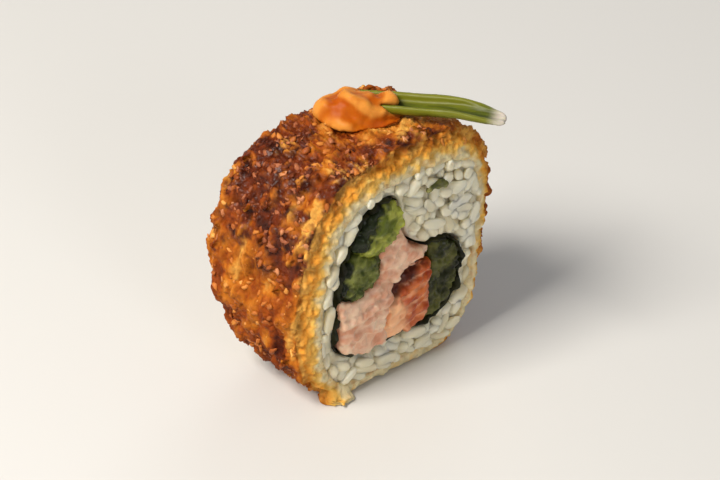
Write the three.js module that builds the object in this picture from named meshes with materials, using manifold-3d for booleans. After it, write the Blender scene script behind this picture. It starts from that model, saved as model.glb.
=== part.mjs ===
// One slice of a deep-fried sushi roll, standing on its round side, with a dollop of spicy mayonnaise
// and a slanting cut of spring onion on top. Millimetres. X runs across the cut face that shows, Y goes
// back from that face through the slice, Z is up.

import * as THREE from 'three';
import { ImprovedNoise } from 'three/addons/math/ImprovedNoise.js';
import { mergeVertices } from 'three/addons/utils/BufferGeometryUtils.js';
import Module from 'manifold-3d';

const wasm = await Module();
wasm.setup();

// ---------------------------------------------------------------- driving dimensions

const SLICE_WIDTH = 43;
const SLICE_HEIGHT = 47.4;
const THICKNESS_AT_TOP = 22.5;
const THICKNESS_AT_BASE = 14.5;
const BACK_BULGE = 3.6; // the back cut stands out this much halfway up
const BACK_NARROWING = 0.05; // the back outline is this much narrower than the front one
const BACK_SINKING = 0.075; // and this much lower
const BACK_SHIFT = 2.5; // and set this far to the left, as the roll was cut at a slant
const GAP = 0.3; // left between neighbouring pieces
const SUNK_ROUNDING = 1.9; // the round outline would reach this far below the flat base

const COAT_THICKNESS = { side: 5.0, top: 6.0, farSide: 2.5, base: 1.9 };
const CRAGS = { coarse: { height: 0.55, size: 7.5 }, fine: { height: 0.9, size: 3.6 } };
const RAGGED_RIM = 0.4;
const NORI_THICKNESS = 0.7;
const NORI_WAVE = 0.45;
const GRAIN_SIZE = { length: 6.0, width: 2.4, height: 2.1 };
const CRUMB_SIZE = { length: 1.9, width: 1.1, height: 0.8 }; // half sizes of a middling crumb or seed
const MAYO_SIZE = { length: 15.8, width: 9.6, height: 5.4 };
const ONION_LENGTH = 33;
const ONION_SIZE = { halfWidth: 2.6, halfHeight: 2.0, wall: 1.0 };

// How square each corner of the front outline is: 2 is an ellipse, higher is squarer.
const CORNERS = { topRight: 3.3, topLeft: 2.8, bottomLeft: 2.6, bottomRight: 4.0 };
const BACK_CORNER = 1.9; // the lower corner on the left is rounder at the back

const COLOURS = {
  fried_coat: 0xc9802e,
  rice: 0xe6e2d2,
  nori: 0x1f2a1d,
  cucumber_upper: 0x5f7f35,
  cucumber_lower: 0x6f8f45,
  cucumber_side: 0x4f5a2c,
  salmon_large: 0xe6ad97,
  salmon_small: 0xe2a183,
  prawn: 0xd8854a,
  spicy_mayo: 0xf08a2c,
  spring_onion: 0x86a83a,
};

// ---------------------------------------------------------------- small tools

const bumpNoise = new ImprovedNoise();

/** A seeded source of numbers between 0 and 1. */
function seededRandom(seed) {
  let state = seed;
  return function next() {
    state = (Math.imul(state, 1664525) + 1013904223) >>> 0;
    return state / 4294967296;
  };
}

/** Smooth lumps between about -1 and 1, each about size millimetres across. */
function lumps(x, y, z, size, shift) {
  return 1.6 * bumpNoise.noise(x / size + shift, y / size + 0.7 * shift, z / size + 1.3 * shift);
}

/** Gives every vertex of a three.js geometry the place worked out from its uv, and welds the seams. */
function reshape(geometry, place) {
  const position = geometry.getAttribute('position');
  const uv = geometry.getAttribute('uv');
  for (let i = 0; i < position.count; i += 1) {
    const point = place(uv.getX(i), uv.getY(i), position.getX(i), position.getY(i), position.getZ(i));
    position.setXYZ(i, point.x, point.y, point.z);
  }
  return weld(geometry);
}

function weld(geometry) {
  geometry.deleteAttribute('normal');
  geometry.deleteAttribute('uv');
  return mergeVertices(geometry, 1e-5);
}

function volumeOf(geometry) {
  const position = geometry.getAttribute('position');
  const index = geometry.getIndex();
  const [a, b, c] = [new THREE.Vector3(), new THREE.Vector3(), new THREE.Vector3()];
  let total = 0;
  for (let i = 0; i < index.count; i += 3) {
    a.fromBufferAttribute(position, index.getX(i));
    b.fromBufferAttribute(position, index.getX(i + 1));
    c.fromBufferAttribute(position, index.getX(i + 2));
    total += a.dot(b.cross(c)) / 6;
  }
  return total;
}

/** A closed, welded geometry as a solid, with its faces turned outwards. */
function solid(geometry) {
  const index = Uint32Array.from(geometry.getIndex().array);
  if (volumeOf(geometry) < 0) {
    for (let i = 0; i < index.length; i += 3) {
      [index[i + 1], index[i + 2]] = [index[i + 2], index[i + 1]];
    }
  }
  const vertProperties = Float32Array.from(geometry.getAttribute('position').array);
  return new wasm.Manifold(new wasm.Mesh({ numProp: 3, vertProperties, triVerts: index }));
}

/** The largest body of a solid, without the scraps and sealed hollows that joining can leave. */
function mainBody(manifold) {
  const bodies = manifold.decompose();
  return bodies.reduce((best, body) => (body.volume() > best.volume() ? body : best));
}

function geometryOf(manifold) {
  const mesh = mainBody(manifold).getMesh();
  const geometry = new THREE.BufferGeometry();
  geometry.setAttribute('position', new THREE.BufferAttribute(mesh.vertProperties, 3));
  geometry.setIndex(new THREE.BufferAttribute(mesh.triVerts, 1));
  geometry.computeVertexNormals();
  return geometry;
}

// ---------------------------------------------------------------- the form of the slice

/**
 * Turns a place on the front cut face into one inside the slice.
 * depth goes from 0 at the front cut to 1 at the slanting back cut, and past is a distance beyond it.
 */
function inSlice(x, z, depth, past = 0) {
  const lift = THREE.MathUtils.clamp(z / SLICE_HEIGHT, 0, 1);
  const straight = THREE.MathUtils.lerp(THICKNESS_AT_BASE, THICKNESS_AT_TOP, lift);
  const thickness = straight + BACK_BULGE * Math.sin(Math.PI * lift);
  const across = x * (1 - BACK_NARROWING * depth) - BACK_SHIFT * depth;
  return new THREE.Vector3(across, depth * thickness + past, z * (1 - BACK_SINKING * depth));
}

const HALF_WIDTH = SLICE_WIDTH / 2;
const HALF_HEIGHT = (SLICE_HEIGHT + SUNK_ROUNDING) / 2;
const CENTRE_Z = SLICE_HEIGHT - HALF_HEIGHT;

function cornerAt(angle, depth) {
  const [right, top] = [Math.cos(angle) >= 0, Math.sin(angle) >= 0];
  if (right) return top ? CORNERS.topRight : CORNERS.bottomRight;
  return top ? CORNERS.topLeft : THREE.MathUtils.lerp(CORNERS.bottomLeft, BACK_CORNER, depth);
}

/** A point of the outline, moved inwards by inset, and no lower than lowest. */
function outline(angle, depth, inset, lowest) {
  const power = 2 / cornerAt(angle, depth);
  const [cos, sin] = [Math.cos(angle), Math.sin(angle)];
  const x = (HALF_WIDTH - inset) * Math.sign(cos) * Math.abs(cos) ** power;
  const z = CENTRE_Z + (HALF_HEIGHT - inset) * Math.sign(sin) * Math.abs(sin) ** power;
  return { x, z: Math.max(z, lowest) };
}

/** Angles at which the points of the front outline are evenly spaced. */
function evenAngles(count) {
  const fine = 1440;
  const lengths = [0];
  let last = outline(0, 0, 0, 0);
  for (let i = 1; i <= fine; i += 1) {
    const point = outline((2 * Math.PI * i) / fine, 0, 0, 0);
    lengths.push(lengths[i - 1] + Math.hypot(point.x - last.x, point.z - last.z));
    last = point;
  }
  const angles = [];
  let step = 0;
  for (let i = 0; i < count; i += 1) {
    while (lengths[step + 1] < (lengths[fine] * i) / count) step += 1;
    angles.push((2 * Math.PI * step) / fine);
  }
  return angles;
}

/** The coat is thickest on top and thinnest under the slice. */
function coatThickness(angle) {
  const [right, up] = [Math.cos(angle), Math.sin(angle)];
  const across = right > 0 ? COAT_THICKNESS.farSide : COAT_THICKNESS.side;
  const along = up > 0 ? COAT_THICKNESS.top : COAT_THICKNESS.base;
  return THREE.MathUtils.lerp(across, along, up * up);
}

// ---------------------------------------------------------------- the fried coat

const COAT_AROUND = 68;
const COAT_ROWS = 10;
const COAT_ANGLES = evenAngles(COAT_AROUND);
const RIM_WIDTH = 0.13; // of the way from the outline to its middle

/** Height of the crags on the coat's outside. */
function crags(point) {
  const coarse = lumps(point.x, point.y, point.z, CRAGS.coarse.size, 3.1);
  const fine = Math.abs(lumps(point.x, point.y, point.z, CRAGS.fine.size, 9.4));
  return CRAGS.coarse.height * coarse + CRAGS.fine.height * (fine - 0.3);
}

/** A point of the craggy outside, grown outwards by a clearance. Under the slice it is pressed flat. */
function coatOutside(angle, depth, past, clearance) {
  const flat = outline(angle, depth, 0, -clearance);
  const point = inSlice(flat.x, flat.z, depth, past);
  const away = new THREE.Vector3(Math.cos(angle), 0, Math.sin(angle));
  point.addScaledVector(away, crags(point) + clearance);
  point.z = flat.z > -clearance ? Math.max(point.z, -clearance) : -clearance;
  return point;
}

/** How far the ragged rim of the coat stands out of the cut, at one angle. */
function raggedRim(angle, depth) {
  const uneven = lumps(8 * Math.cos(angle), 20 * depth, 8 * Math.sin(angle), 1.9, 5.2);
  return RAGGED_RIM * (uneven - 0.75);
}

/** The coat with everything inside it, as one block, grown by a clearance. */
function coatBlock(clearance) {
  const lastRow = COAT_ROWS + 3;
  const block = new THREE.SphereGeometry(1, COAT_AROUND, lastRow);
  return solid(reshape(block, (u, v) => {
    const row = Math.round((1 - v) * lastRow);
    const angle = COAT_ANGLES[Math.round(u * COAT_AROUND) % COAT_AROUND];
    const depth = THREE.MathUtils.clamp((row - 2) / (COAT_ROWS - 1), 0, 1);
    const side = row <= 2 ? -1 : row >= lastRow - 2 ? 1 : 0;
    const middle = inSlice(0, CENTRE_Z, depth, side * clearance);
    if (row === 0 || row === lastRow) return middle;
    const rim = row === 2 || row === lastRow - 2 ? raggedRim(angle, depth) : 0;
    const edge = coatOutside(angle, depth, side * (clearance + rim), clearance);
    const within = row === 1 || row === lastRow - 1;
    return within ? edge.lerp(middle, RIM_WIDTH) : edge;
  }));
}

/** The hollow of the coat, longer than the slice. */
function coatHollow() {
  return prism({
    around: COAT_AROUND,
    depths: CURVED_BLOCK,
    centre: new THREE.Vector3(0, 0, CENTRE_Z),
    at: (turn, depth) => {
      const angle = COAT_ANGLES[Math.round(turn * COAT_AROUND) % COAT_AROUND];
      return outline(angle, depth, coatThickness(angle), COAT_THICKNESS.base);
    },
  });
}

const CRUMB_COUNT = 32;

/** Crumbs and seeds stuck to the coat, most of them on the top and its left shoulder. */
function crumbs() {
  const random = seededRandom(71);
  const placed = [];
  while (placed.length < CRUMB_COUNT) {
    const angle = Math.PI * (0.2 + 0.95 * random() ** 0.8);
    const depth = 0.08 + 0.84 * random();
    const size = 0.65 + 0.45 * random();
    const spin = 2 * Math.PI * random();
    const roll = 2 * Math.PI * random();
    const centre = coatOutside(angle, depth, 0, 0);
    if (underTopping(centre)) continue;
    const crumb = new THREE.IcosahedronGeometry(size, 0);
    crumb.scale(CRUMB_SIZE.length, CRUMB_SIZE.width, CRUMB_SIZE.height);
    crumb.rotateZ(spin);
    crumb.rotateX(roll);
    crumb.translate(centre.x, centre.y, centre.z);
    placed.push(solid(weld(crumb)));
  }
  return placed;
}

/** The little skirt of batter that ran out at the foot of the front left corner, flat below. */
function skirt() {
  const drip = new THREE.SphereGeometry(1, 14, 8);
  const position = drip.getAttribute('position');
  for (let i = 0; i < position.count; i += 1) {
    const point = new THREE.Vector3().fromBufferAttribute(position, i);
    point.multiplyScalar(1 + 0.28 * lumps(point.x, point.y, point.z, 0.9, 2.7));
    position.setXYZ(i, 2.9 * point.x, 1.7 * point.y, 1.5 * point.z);
  }
  drip.rotateZ(-0.35);
  drip.translate(-11.4, 0.1, 1.0);
  const floor = new THREE.BoxGeometry(20, 20, 10);
  floor.translate(-11, 0, -5);
  return solid(weld(drip)).subtract(solid(weld(floor)));
}

function friedCoat() {
  let body = coatBlock(0);
  for (const crumb of crumbs()) body = body.add(crumb);
  return body.add(skirt()).subtract(coatHollow());
}

// ---------------------------------------------------------------- prisms that run through the slice

const OVERRUN = 0.2; // blocks that only cut others reach this far past the cuts, as a depth
const STRAIGHT = [0, 1];
const STRAIGHT_BLOCK = [-OVERRUN, 1 + OVERRUN];
const CURVED = [0, 1 / 3, 2 / 3, 1]; // for outlines whose corners change from front to back
const CURVED_BLOCK = [-OVERRUN, ...CURVED, 1 + OVERRUN];
const CAP_RINGS = [0, 0.62]; // a cut face goes from its middle over one ring to its edge

/**
 * A closed prism with rows of points at the given depths.
 * at(turn, depth) gives the outline's point for a turn from 0 to 1, and ends shapes the two cut faces.
 */
function prism({ around, depths, centre, at, ends = () => 0 }) {
  const lastRow = depths.length + 3;
  const shell = new THREE.SphereGeometry(1, around, lastRow);
  return solid(reshape(shell, (u, v) => {
    const row = Math.round((1 - v) * lastRow);
    const depth = depths[THREE.MathUtils.clamp(row - 2, 0, depths.length - 1)];
    const edge = at(u % 1, depth);
    const spread = CAP_RINGS[Math.min(row, lastRow - row)] ?? 1;
    const x = THREE.MathUtils.lerp(centre.x, edge.x, spread);
    const z = THREE.MathUtils.lerp(centre.z, edge.z, spread);
    const out = row <= 2 ? -1 : row >= lastRow - 2 ? 1 : 0;
    return inSlice(x, z, depth, out * ends(x, z, spread));
  }));
}

// ---------------------------------------------------------------- the heart of the roll

/**
 * The edge between rice and filling on the front cut face, once round against the clock from the top.
 * The nori follows it up to the point with index NORI_LAST, and the rice meets the filling after that.
 */
const HEART = [
  [-0.6, 37.8], [-4.8, 39.0], [-9.2, 36.6], [-12.0, 31.0], [-13.6, 25.0], [-13.4, 17.4], [-12.0, 9.6],
  [-6.0, 7.0], [3.0, 7.6], [10.6, 7.0], [15.2, 10.6], [16.6, 17.2], [15.2, 22.8], [11.0, 25.2], [6.2, 25.8],
  [3.3, 28.0], [1.6, 33.0],
].map(([x, z]) => new THREE.Vector3(x, 0, z));
const HEART_CURVE = new THREE.CatmullRomCurve3(HEART, true, 'centripetal');
const HEART_MIDDLE = new THREE.Vector3(-1, 0, 20);
const NORI_LAST = 14;

/** A point of the heart's edge, moved inwards by inset. Inwards is left of the way the curve runs. */
function heartEdge(turn, inset) {
  const point = HEART_CURVE.getPoint(turn);
  const tangent = HEART_CURVE.getTangent(turn);
  const inwards = new THREE.Vector3(-tangent.z, 0, tangent.x);
  return point.addScaledVector(inwards, inset);
}

/** The heart as a block that reaches past both cuts. */
function heartBlock(inset) {
  return prism({
    around: 51,
    depths: STRAIGHT_BLOCK,
    centre: HEART_MIDDLE,
    at: (turn) => heartEdge(turn, inset),
  });
}

function nori() {
  const along = 46;
  const rows = 2;
  const sheet = new THREE.BoxGeometry(1, 1, 1, along, rows, 1);
  return solid(reshape(sheet, (u, v, x, y, z) => {
    const turn = ((x + 0.5) * NORI_LAST) / HEART.length;
    const depth = y + 0.5;
    const wave = NORI_WAVE * (0.5 + 0.5 * lumps(60 * turn, 9 * depth, 0, 3.4, 2.2));
    const inset = GAP + THREE.MathUtils.clamp(wave, 0, 2 * NORI_WAVE) + (z + 0.5) * NORI_THICKNESS;
    const edge = heartEdge(turn, inset);
    const ragged = 0.35 * lumps(60 * turn, 0, 30 * depth, 2.6, 7.7);
    const past = depth === 0 ? ragged - 0.2 : depth === 1 ? ragged + 0.2 : 0;
    return inSlice(edge.x, edge.z, depth, past);
  }));
}

// ---------------------------------------------------------------- fillings

/** Each filling's section on the front cut face: its middle, size, turn in degrees and how square it is. */
const FILLINGS = [
  { name: 'cucumber_upper', x: -4.7, z: 32.6, width: 10.4, height: 8.6, turn: 42, square: 3.4, bulge: 0.2 },
  { name: 'cucumber_lower', x: -8.3, z: 24.2, width: 9.2, height: 8.4, turn: 14, square: 3.2, bulge: -0.3 },
  { name: 'cucumber_side', x: 12.2, z: 16.2, width: 8.4, height: 18.4, turn: -3, square: 3.8, bulge: -0.7 },
  { name: 'prawn', x: 3.8, z: 14.8, width: 9.8, height: 13.8, turn: -16, square: 2.8, bulge: 0.7 },
  { name: 'salmon_large', x: -7.0, z: 14.6, width: 15.0, height: 14.0, turn: 6, square: 3.4, bulge: 0.9 },
  { name: 'salmon_small', x: 0.8, z: 24.6, width: 13.0, height: 10.4, turn: 24, square: 2.6, bulge: 0.3 },
];

function fillingPrism(filling, clearance) {
  const turned = THREE.MathUtils.degToRad(filling.turn);
  const power = 2 / filling.square;
  const at = (turn) => {
    const angle = 2 * Math.PI * turn;
    const [cos, sin] = [Math.cos(angle), Math.sin(angle)];
    const uneven = 1 + 0.07 * lumps(3 * cos + filling.x, 0, 3 * sin + filling.z, 1.7, 4.4);
    const across = ((filling.width / 2) * uneven + clearance) * Math.sign(cos) * Math.abs(cos) ** power;
    const up = ((filling.height / 2) * uneven + clearance) * Math.sign(sin) * Math.abs(sin) ** power;
    return {
      x: filling.x + across * Math.cos(turned) - up * Math.sin(turned),
      z: filling.z + across * Math.sin(turned) + up * Math.cos(turned),
    };
  };
  const depths = clearance > 0 ? STRAIGHT_BLOCK : STRAIGHT;
  const ends = (x, z, spread) => {
    if (clearance > 0) return 0;
    const dome = filling.bulge * (1 - 0.8 * spread);
    return dome + 0.25 * lumps(x, 0, z, 2.4, 1.1) - (spread === 1 ? 0.3 : 0);
  };
  return prism({ around: 20, depths, centre: new THREE.Vector3(filling.x, 0, filling.z), at, ends });
}

/** Softer fillings come later in the list, and are pressed into the room that the firmer ones leave. */
function fillings() {
  const room = heartBlock(2 * GAP + NORI_THICKNESS + NORI_WAVE);
  const pressed = [];
  FILLINGS.forEach((filling, order) => {
    let body = fillingPrism(filling, 0).intersect(room);
    for (const firmer of FILLINGS.slice(0, order)) body = body.subtract(fillingPrism(firmer, GAP));
    pressed.push({ name: filling.name, body });
  });
  return pressed;
}

// ---------------------------------------------------------------- rice

const RICE_GAP = GAP + 0.1; // the coarser outline of the rice needs a little more
const RICE_SUNK = 0.4;
const GRAIN_TRIES = 12000;
const GRAINS_PER_FACE = 44;
const GRAIN_SPACING = 0.5 * GRAIN_SIZE.width;

/** The outline of the rice, just inside the coat. */
function riceOutline(angle, depth) {
  return outline(angle, depth, coatThickness(angle) + RICE_GAP, COAT_THICKNESS.base + RICE_GAP);
}

/** The packed rice between coat and filling, a little sunk at the cuts so that the grains stand out. */
function riceCore() {
  const around = 48;
  const angles = evenAngles(around);
  const whole = prism({
    around,
    depths: CURVED,
    centre: new THREE.Vector3(0, 0, CENTRE_Z),
    at: (turn, depth) => riceOutline(angles[Math.round(turn * around) % around], depth),
    ends: () => -RICE_SUNK,
  });
  return whole.subtract(heartBlock(0));
}

/** Grains laid on one cut face, each about a grain's width from the next; the knife shortened many. */
function grainsOn(depth, seed, edges) {
  const random = seededRandom(seed);
  const grains = [];
  const taken = [];
  for (let i = 0; i < GRAIN_TRIES && grains.length < GRAINS_PER_FACE; i += 1) {
    const x = (random() - 0.5) * SLICE_WIDTH;
    const z = random() * SLICE_HEIGHT;
    const spin = Math.PI * random();
    const tilt = 0.5 * (random() - 0.5);
    const length = GRAIN_SIZE.length * (0.55 + 0.5 * random());
    const along = { x: 0.5 * length * Math.cos(spin), z: -0.5 * length * Math.sin(spin) };
    const tips = [-1, 0, 1].map((end) => ({ x: x + end * along.x, z: z + end * along.z }));
    const rim = [...Array(8).keys()].map((corner) => {
      const [cos, sin] = [Math.cos((Math.PI * corner) / 4), Math.sin((Math.PI * corner) / 4)];
      const across = (GRAIN_SIZE.width / length) * sin;
      return { x: x + cos * along.x - across * along.z, z: z + cos * along.z + across * along.x };
    });
    const near = (a, b) => Math.hypot(a.x - b.x, a.z - b.z) < GRAIN_SPACING;
    if (tips.some((tip) => taken.some((other) => near(tip, other)))) continue;
    if (!rim.every((point) => inRice(point, edges))) continue;
    taken.push(...tips);
    const grain = new THREE.SphereGeometry(0.5, 5, 4);
    grain.rotateZ(Math.PI / 2);
    grain.scale(length, GRAIN_SIZE.height, GRAIN_SIZE.width);
    grain.rotateZ(tilt);
    grain.rotateY(spin);
    const place = inSlice(x, z, depth, depth === 0 ? RICE_SUNK : -RICE_SUNK);
    grain.translate(place.x, place.y, place.z);
    grains.push(solid(weld(grain)));
  }
  return grains;
}

/** Whether a point of the cut face lies in the ring of rice. */
function inRice(point, edges) {
  const inside = (points) => points.reduce((odd, a, i) => {
    const b = points[(i + 1) % points.length];
    const across = a.x + ((point.z - a.z) * (b.x - a.x)) / (b.z - a.z);
    const crosses = (a.z > point.z) !== (b.z > point.z) && point.x < across;
    return crosses ? !odd : odd;
  }, false);
  return inside(edges.outer) && !inside(edges.inner);
}

function rice() {
  const angles = [...Array(60).keys()].map((i) => (2 * Math.PI * i) / 60);
  const edgesAt = (depth) => ({
    outer: angles.map((angle) => riceOutline(angle, depth)),
    inner: angles.map((angle) => heartEdge(angle / (2 * Math.PI), 0)),
  });
  let body = riceCore();
  const grains = [...grainsOn(0, 11, edgesAt(0)), ...grainsOn(1, 23, edgesAt(1))];
  for (const grain of grains) body = body.add(grain);
  return body;
}

// ---------------------------------------------------------------- toppings

const ONION_MIDDLE = new THREE.Vector3(6.0, 7.4, 0);
const ONION_HEADING = THREE.MathUtils.degToRad(-57);
const MAYO_MIDDLE = new THREE.Vector3(0.6, 12.4, 0);
const MAYO_HEADING = THREE.MathUtils.degToRad(-32);

/** Height of the coat's smooth top at a place seen from above. */
function topHeight(x, y) {
  const depth = THREE.MathUtils.clamp(y / THICKNESS_AT_TOP, 0, 1);
  const reach = Math.min(Math.abs(x + BACK_SHIFT * depth) / HALF_WIDTH, 0.9);
  const corner = x > 0 ? CORNERS.topRight : CORNERS.topLeft;
  const round = HALF_HEIGHT * (1 - reach ** corner) ** (1 / corner);
  return (CENTRE_Z + round) * (1 - BACK_SINKING * depth);
}

/** Whether a point of the coat is under the dollop or near the line of the spring onion. */
function underTopping(point) {
  const fromMayo = Math.hypot(point.x - MAYO_MIDDLE.x, point.y - MAYO_MIDDLE.y);
  const [dx, dy] = [point.x - ONION_MIDDLE.x, point.y - ONION_MIDDLE.y];
  const fromOnion = Math.abs(dx * Math.sin(ONION_HEADING) - dy * Math.cos(ONION_HEADING));
  const high = point.z > 0.8 * SLICE_HEIGHT;
  return high && (fromMayo < 0.6 * MAYO_SIZE.length || fromOnion < 2 * ONION_SIZE.halfWidth);
}

/** A slanting cut of a spring onion leaf: an open tube whose wall runs out to a point at both ends. */
function springOnion(clearance, coatRoom) {
  const leaf = new THREE.BoxGeometry(1, 1, 1, 7, 22, 1);
  const forward = new THREE.Vector3(Math.cos(ONION_HEADING), Math.sin(ONION_HEADING), 0);
  const sideways = new THREE.Vector3(-forward.y, forward.x, 0);
  const body = solid(reshape(leaf, (u, v, x, y, z) => {
    const way = 2 * y;
    const taper = Math.sqrt(1 - 0.93 * Math.abs(way) ** 2.6);
    const spread = THREE.MathUtils.degToRad(14 + 92 * taper) + clearance / ONION_SIZE.halfWidth;
    const angle = 2 * x * spread;
    const wall = ONION_SIZE.wall * (0.6 + 0.4 * taper) + clearance;
    const off = z > 0 ? clearance : -wall;
    const across = ONION_SIZE.halfWidth * (0.72 + 0.28 * taper) + off;
    const down = ONION_SIZE.halfHeight * (0.72 + 0.28 * taper) + off;
    const middle = ONION_MIDDLE.clone().addScaledVector(forward, way * (ONION_LENGTH / 2 + clearance));
    const lowest = topHeight(middle.x * 0.5, middle.y) + 1.0 - 1.4 * Math.max(way - 0.3, 0);
    const bow = 0.5 * Math.cos(1.7 * way) + 0.15 * Math.sin(5 * way);
    middle.addScaledVector(sideways, bow + across * Math.sin(angle));
    middle.z = lowest + down - off - down * Math.cos(angle);
    return middle;
  }));
  return coatRoom ? body.subtract(coatRoom) : body;
}

/** A two-lobed dollop that has slumped over the spring onion. */
function spicyMayo(onionRoom, coatRoom) {
  const blob = new THREE.SphereGeometry(1, 20, 11);
  const forward = new THREE.Vector3(Math.cos(MAYO_HEADING), Math.sin(MAYO_HEADING), 0);
  const sideways = new THREE.Vector3(-forward.y, forward.x, 0);
  const base = topHeight(MAYO_MIDDLE.x, MAYO_MIDDLE.y) - 0.8;
  const body = solid(reshape(blob, (u, v, x, y, z) => {
    const waist = 1 - 0.16 * Math.exp(-((x - 0.12) ** 2) / 0.05);
    const swell = 1 + 0.13 * lumps(x, y, z, 0.8, 8.3);
    const long = 0.5 * MAYO_SIZE.length * x * swell;
    const wide = 0.5 * MAYO_SIZE.width * y * waist * swell;
    const high = z > 0 ? (MAYO_SIZE.height + 0.8) * z ** 0.8 * waist * swell : 2 * z;
    const middle = MAYO_MIDDLE.clone().addScaledVector(forward, long).addScaledVector(sideways, wide);
    middle.z = base + high;
    return middle;
  }));
  return body.subtract(onionRoom).subtract(coatRoom);
}

// ---------------------------------------------------------------- the slice

function piece(name, manifold) {
  const material = new THREE.MeshStandardMaterial({ color: COLOURS[name], roughness: 0.6, metalness: 0 });
  const mesh = new THREE.Mesh(geometryOf(manifold), material);
  mesh.name = name;
  return mesh;
}

const slice = new THREE.Group();
slice.add(piece('fried_coat', friedCoat()));
slice.add(piece('rice', rice()));
slice.add(piece('nori', nori()));
for (const { name, body } of fillings()) slice.add(piece(name, body));
slice.add(piece('spring_onion', springOnion(0, coatBlock(GAP))));
slice.add(piece('spicy_mayo', spicyMayo(springOnion(GAP), coatBlock(GAP))));

// The origin is under the middle of the slice's box, on the surface it stands on.
const box = new THREE.Box3().setFromObject(slice);
slice.position.set(-(box.min.x + box.max.x) / 2, -(box.min.y + box.max.y) / 2, -box.min.z);

export default slice;
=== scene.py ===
"""One slice of a deep-fried sushi roll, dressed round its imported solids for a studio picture."""

import logging
import math
import random
from dataclasses import dataclass, field
from enum import Enum
from functools import cache, cached_property
from typing import Callable, Iterable

import bmesh
import bpy
from mathutils import Matrix, Vector, noise
from mathutils.bvhtree import BVHTree


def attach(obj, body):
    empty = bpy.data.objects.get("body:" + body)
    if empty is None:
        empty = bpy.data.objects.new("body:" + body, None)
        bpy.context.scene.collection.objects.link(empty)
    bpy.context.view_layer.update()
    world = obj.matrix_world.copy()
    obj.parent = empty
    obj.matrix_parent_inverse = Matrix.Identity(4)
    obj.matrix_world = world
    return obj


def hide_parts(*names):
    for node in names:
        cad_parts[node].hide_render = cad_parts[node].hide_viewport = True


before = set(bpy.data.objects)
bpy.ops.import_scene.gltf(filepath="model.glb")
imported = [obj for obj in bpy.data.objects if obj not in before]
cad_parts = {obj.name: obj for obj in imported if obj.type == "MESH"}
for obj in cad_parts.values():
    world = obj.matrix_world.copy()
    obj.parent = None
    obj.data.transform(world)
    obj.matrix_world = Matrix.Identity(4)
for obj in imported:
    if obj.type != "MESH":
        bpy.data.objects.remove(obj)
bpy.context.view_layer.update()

NOISE_SEED = 11
noise.seed_set(NOISE_SEED)  # without it, noise_vector differs from run to run

MM = 0.001
BODY = "root"
LUMP_FALL, LUMP_STEP = 0.9, 2.1  # how much fainter and finer each layer of lumps is
TINY = 1e-3
WELL_INSIDE = 9.0
LEAF_HEADING = math.radians(-57)
log = logging.getLogger("slice")

Colour = tuple[float, float, float, float]
Pair = tuple[float, float]
Triple = tuple[float, float, float]
Move = tuple[Vector, dict[str, float]]
Socket = bpy.types.NodeSocket
Inputs = dict[str | int, object]


def linear(value: float) -> float:
    """One channel of a colour seen on a screen, 0 to 255, as a shader takes it."""
    share = value / 255
    return share / 12.92 if share <= 0.04045 else ((share + 0.055) / 1.055) ** 2.4


def rgb(red: float, green: float, blue: float) -> Colour:
    """A colour seen on a screen, 0 to 255, as a shader takes it."""
    return (linear(red), linear(green), linear(blue), 1.0)


def lerp(start: float, end: float, share: float) -> float:
    """The value that lies share of the way from start to end."""
    return start + (end - start) * share


def clamp(value: float, low: float = 0.0, high: float = 1.0) -> float:
    """The value, kept between low and high."""
    return min(max(value, low), high)


def smoothstep(low: float, high: float, value: float) -> float:
    """0 below low, 1 above high and a soft change between them."""
    share = clamp((value - low) / (high - low))
    return share * share * (3 - 2 * share)


def lumps(point: Vector, size: float, octaves: int = 3, shift: float = 0.0) -> float:
    """Soft lumps between about -1 and 1.

    Args:
        point: A place in millimetres.
        size: About how wide one lump is, in millimetres.
        octaves: How many finer layers lie on it.
        shift: Picks another pattern of the same kind.

    Returns:
        The height of the lumps there.
    """
    place = point / size + Vector((shift, 1.7 * shift, 0.6 * shift))
    return noise.fractal(place, LUMP_FALL, LUMP_STEP, octaves, noise_basis="PERLIN_ORIGINAL")


def pebbles(point: Vector, size: float, shift: float = 0.0) -> float:
    """Round bits lying side by side: 1 at the middle of each and about 0 between them."""
    place = point / size + Vector((shift, -shift, 2 * shift))
    return clamp(1.0 - 1.25 * noise.voronoi(place, distance_metric="DISTANCE")[0][0])


@dataclass(frozen=True)
class Lumps:
    """One layer of lumps, with its size, its finer layers, its pattern and its height."""

    size: float
    octaves: int = 3
    shift: float = 0.0
    height: float = 1.0

    def at(self, point: Vector) -> float:
        """How high it stands at a place in millimetres."""
        return self.height * lumps(point, self.size, self.octaves, self.shift)


@dataclass(frozen=True)
class Flakes:
    """Crisp flakes that lie tilted side by side, with grooves between them."""

    size: float
    shift: float = 0.0
    stir: float = 0.3
    tilt: float = 1.6
    groove: float = 0.16
    groove_depth: float = 0.6

    def at(self, point: Vector) -> Pair:
        """The flake at a place.

        Args:
            point: A place in millimetres.

        Returns:
            The height there, about -1 to 1, and the flake's own shade from 0 to 1.
        """
        place = point / self.size + Vector((self.shift, 2 * self.shift, -self.shift))
        place += self.stir * noise.noise_vector(1.4 * place)
        gaps, middles = noise.voronoi(place, distance_metric="DISTANCE")
        own = noise.cell_vector(73.0 * middles[0])
        tilt = self.tilt * (place - middles[0]).dot(own)
        edge = smoothstep(0.0, self.groove, gaps[1] - gaps[0])
        return (own.x + tilt) * edge - self.groove_depth * (1 - edge), 0.5 + 0.5 * own.y


# ------------------------------------------------------------------ the form of the slice


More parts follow.
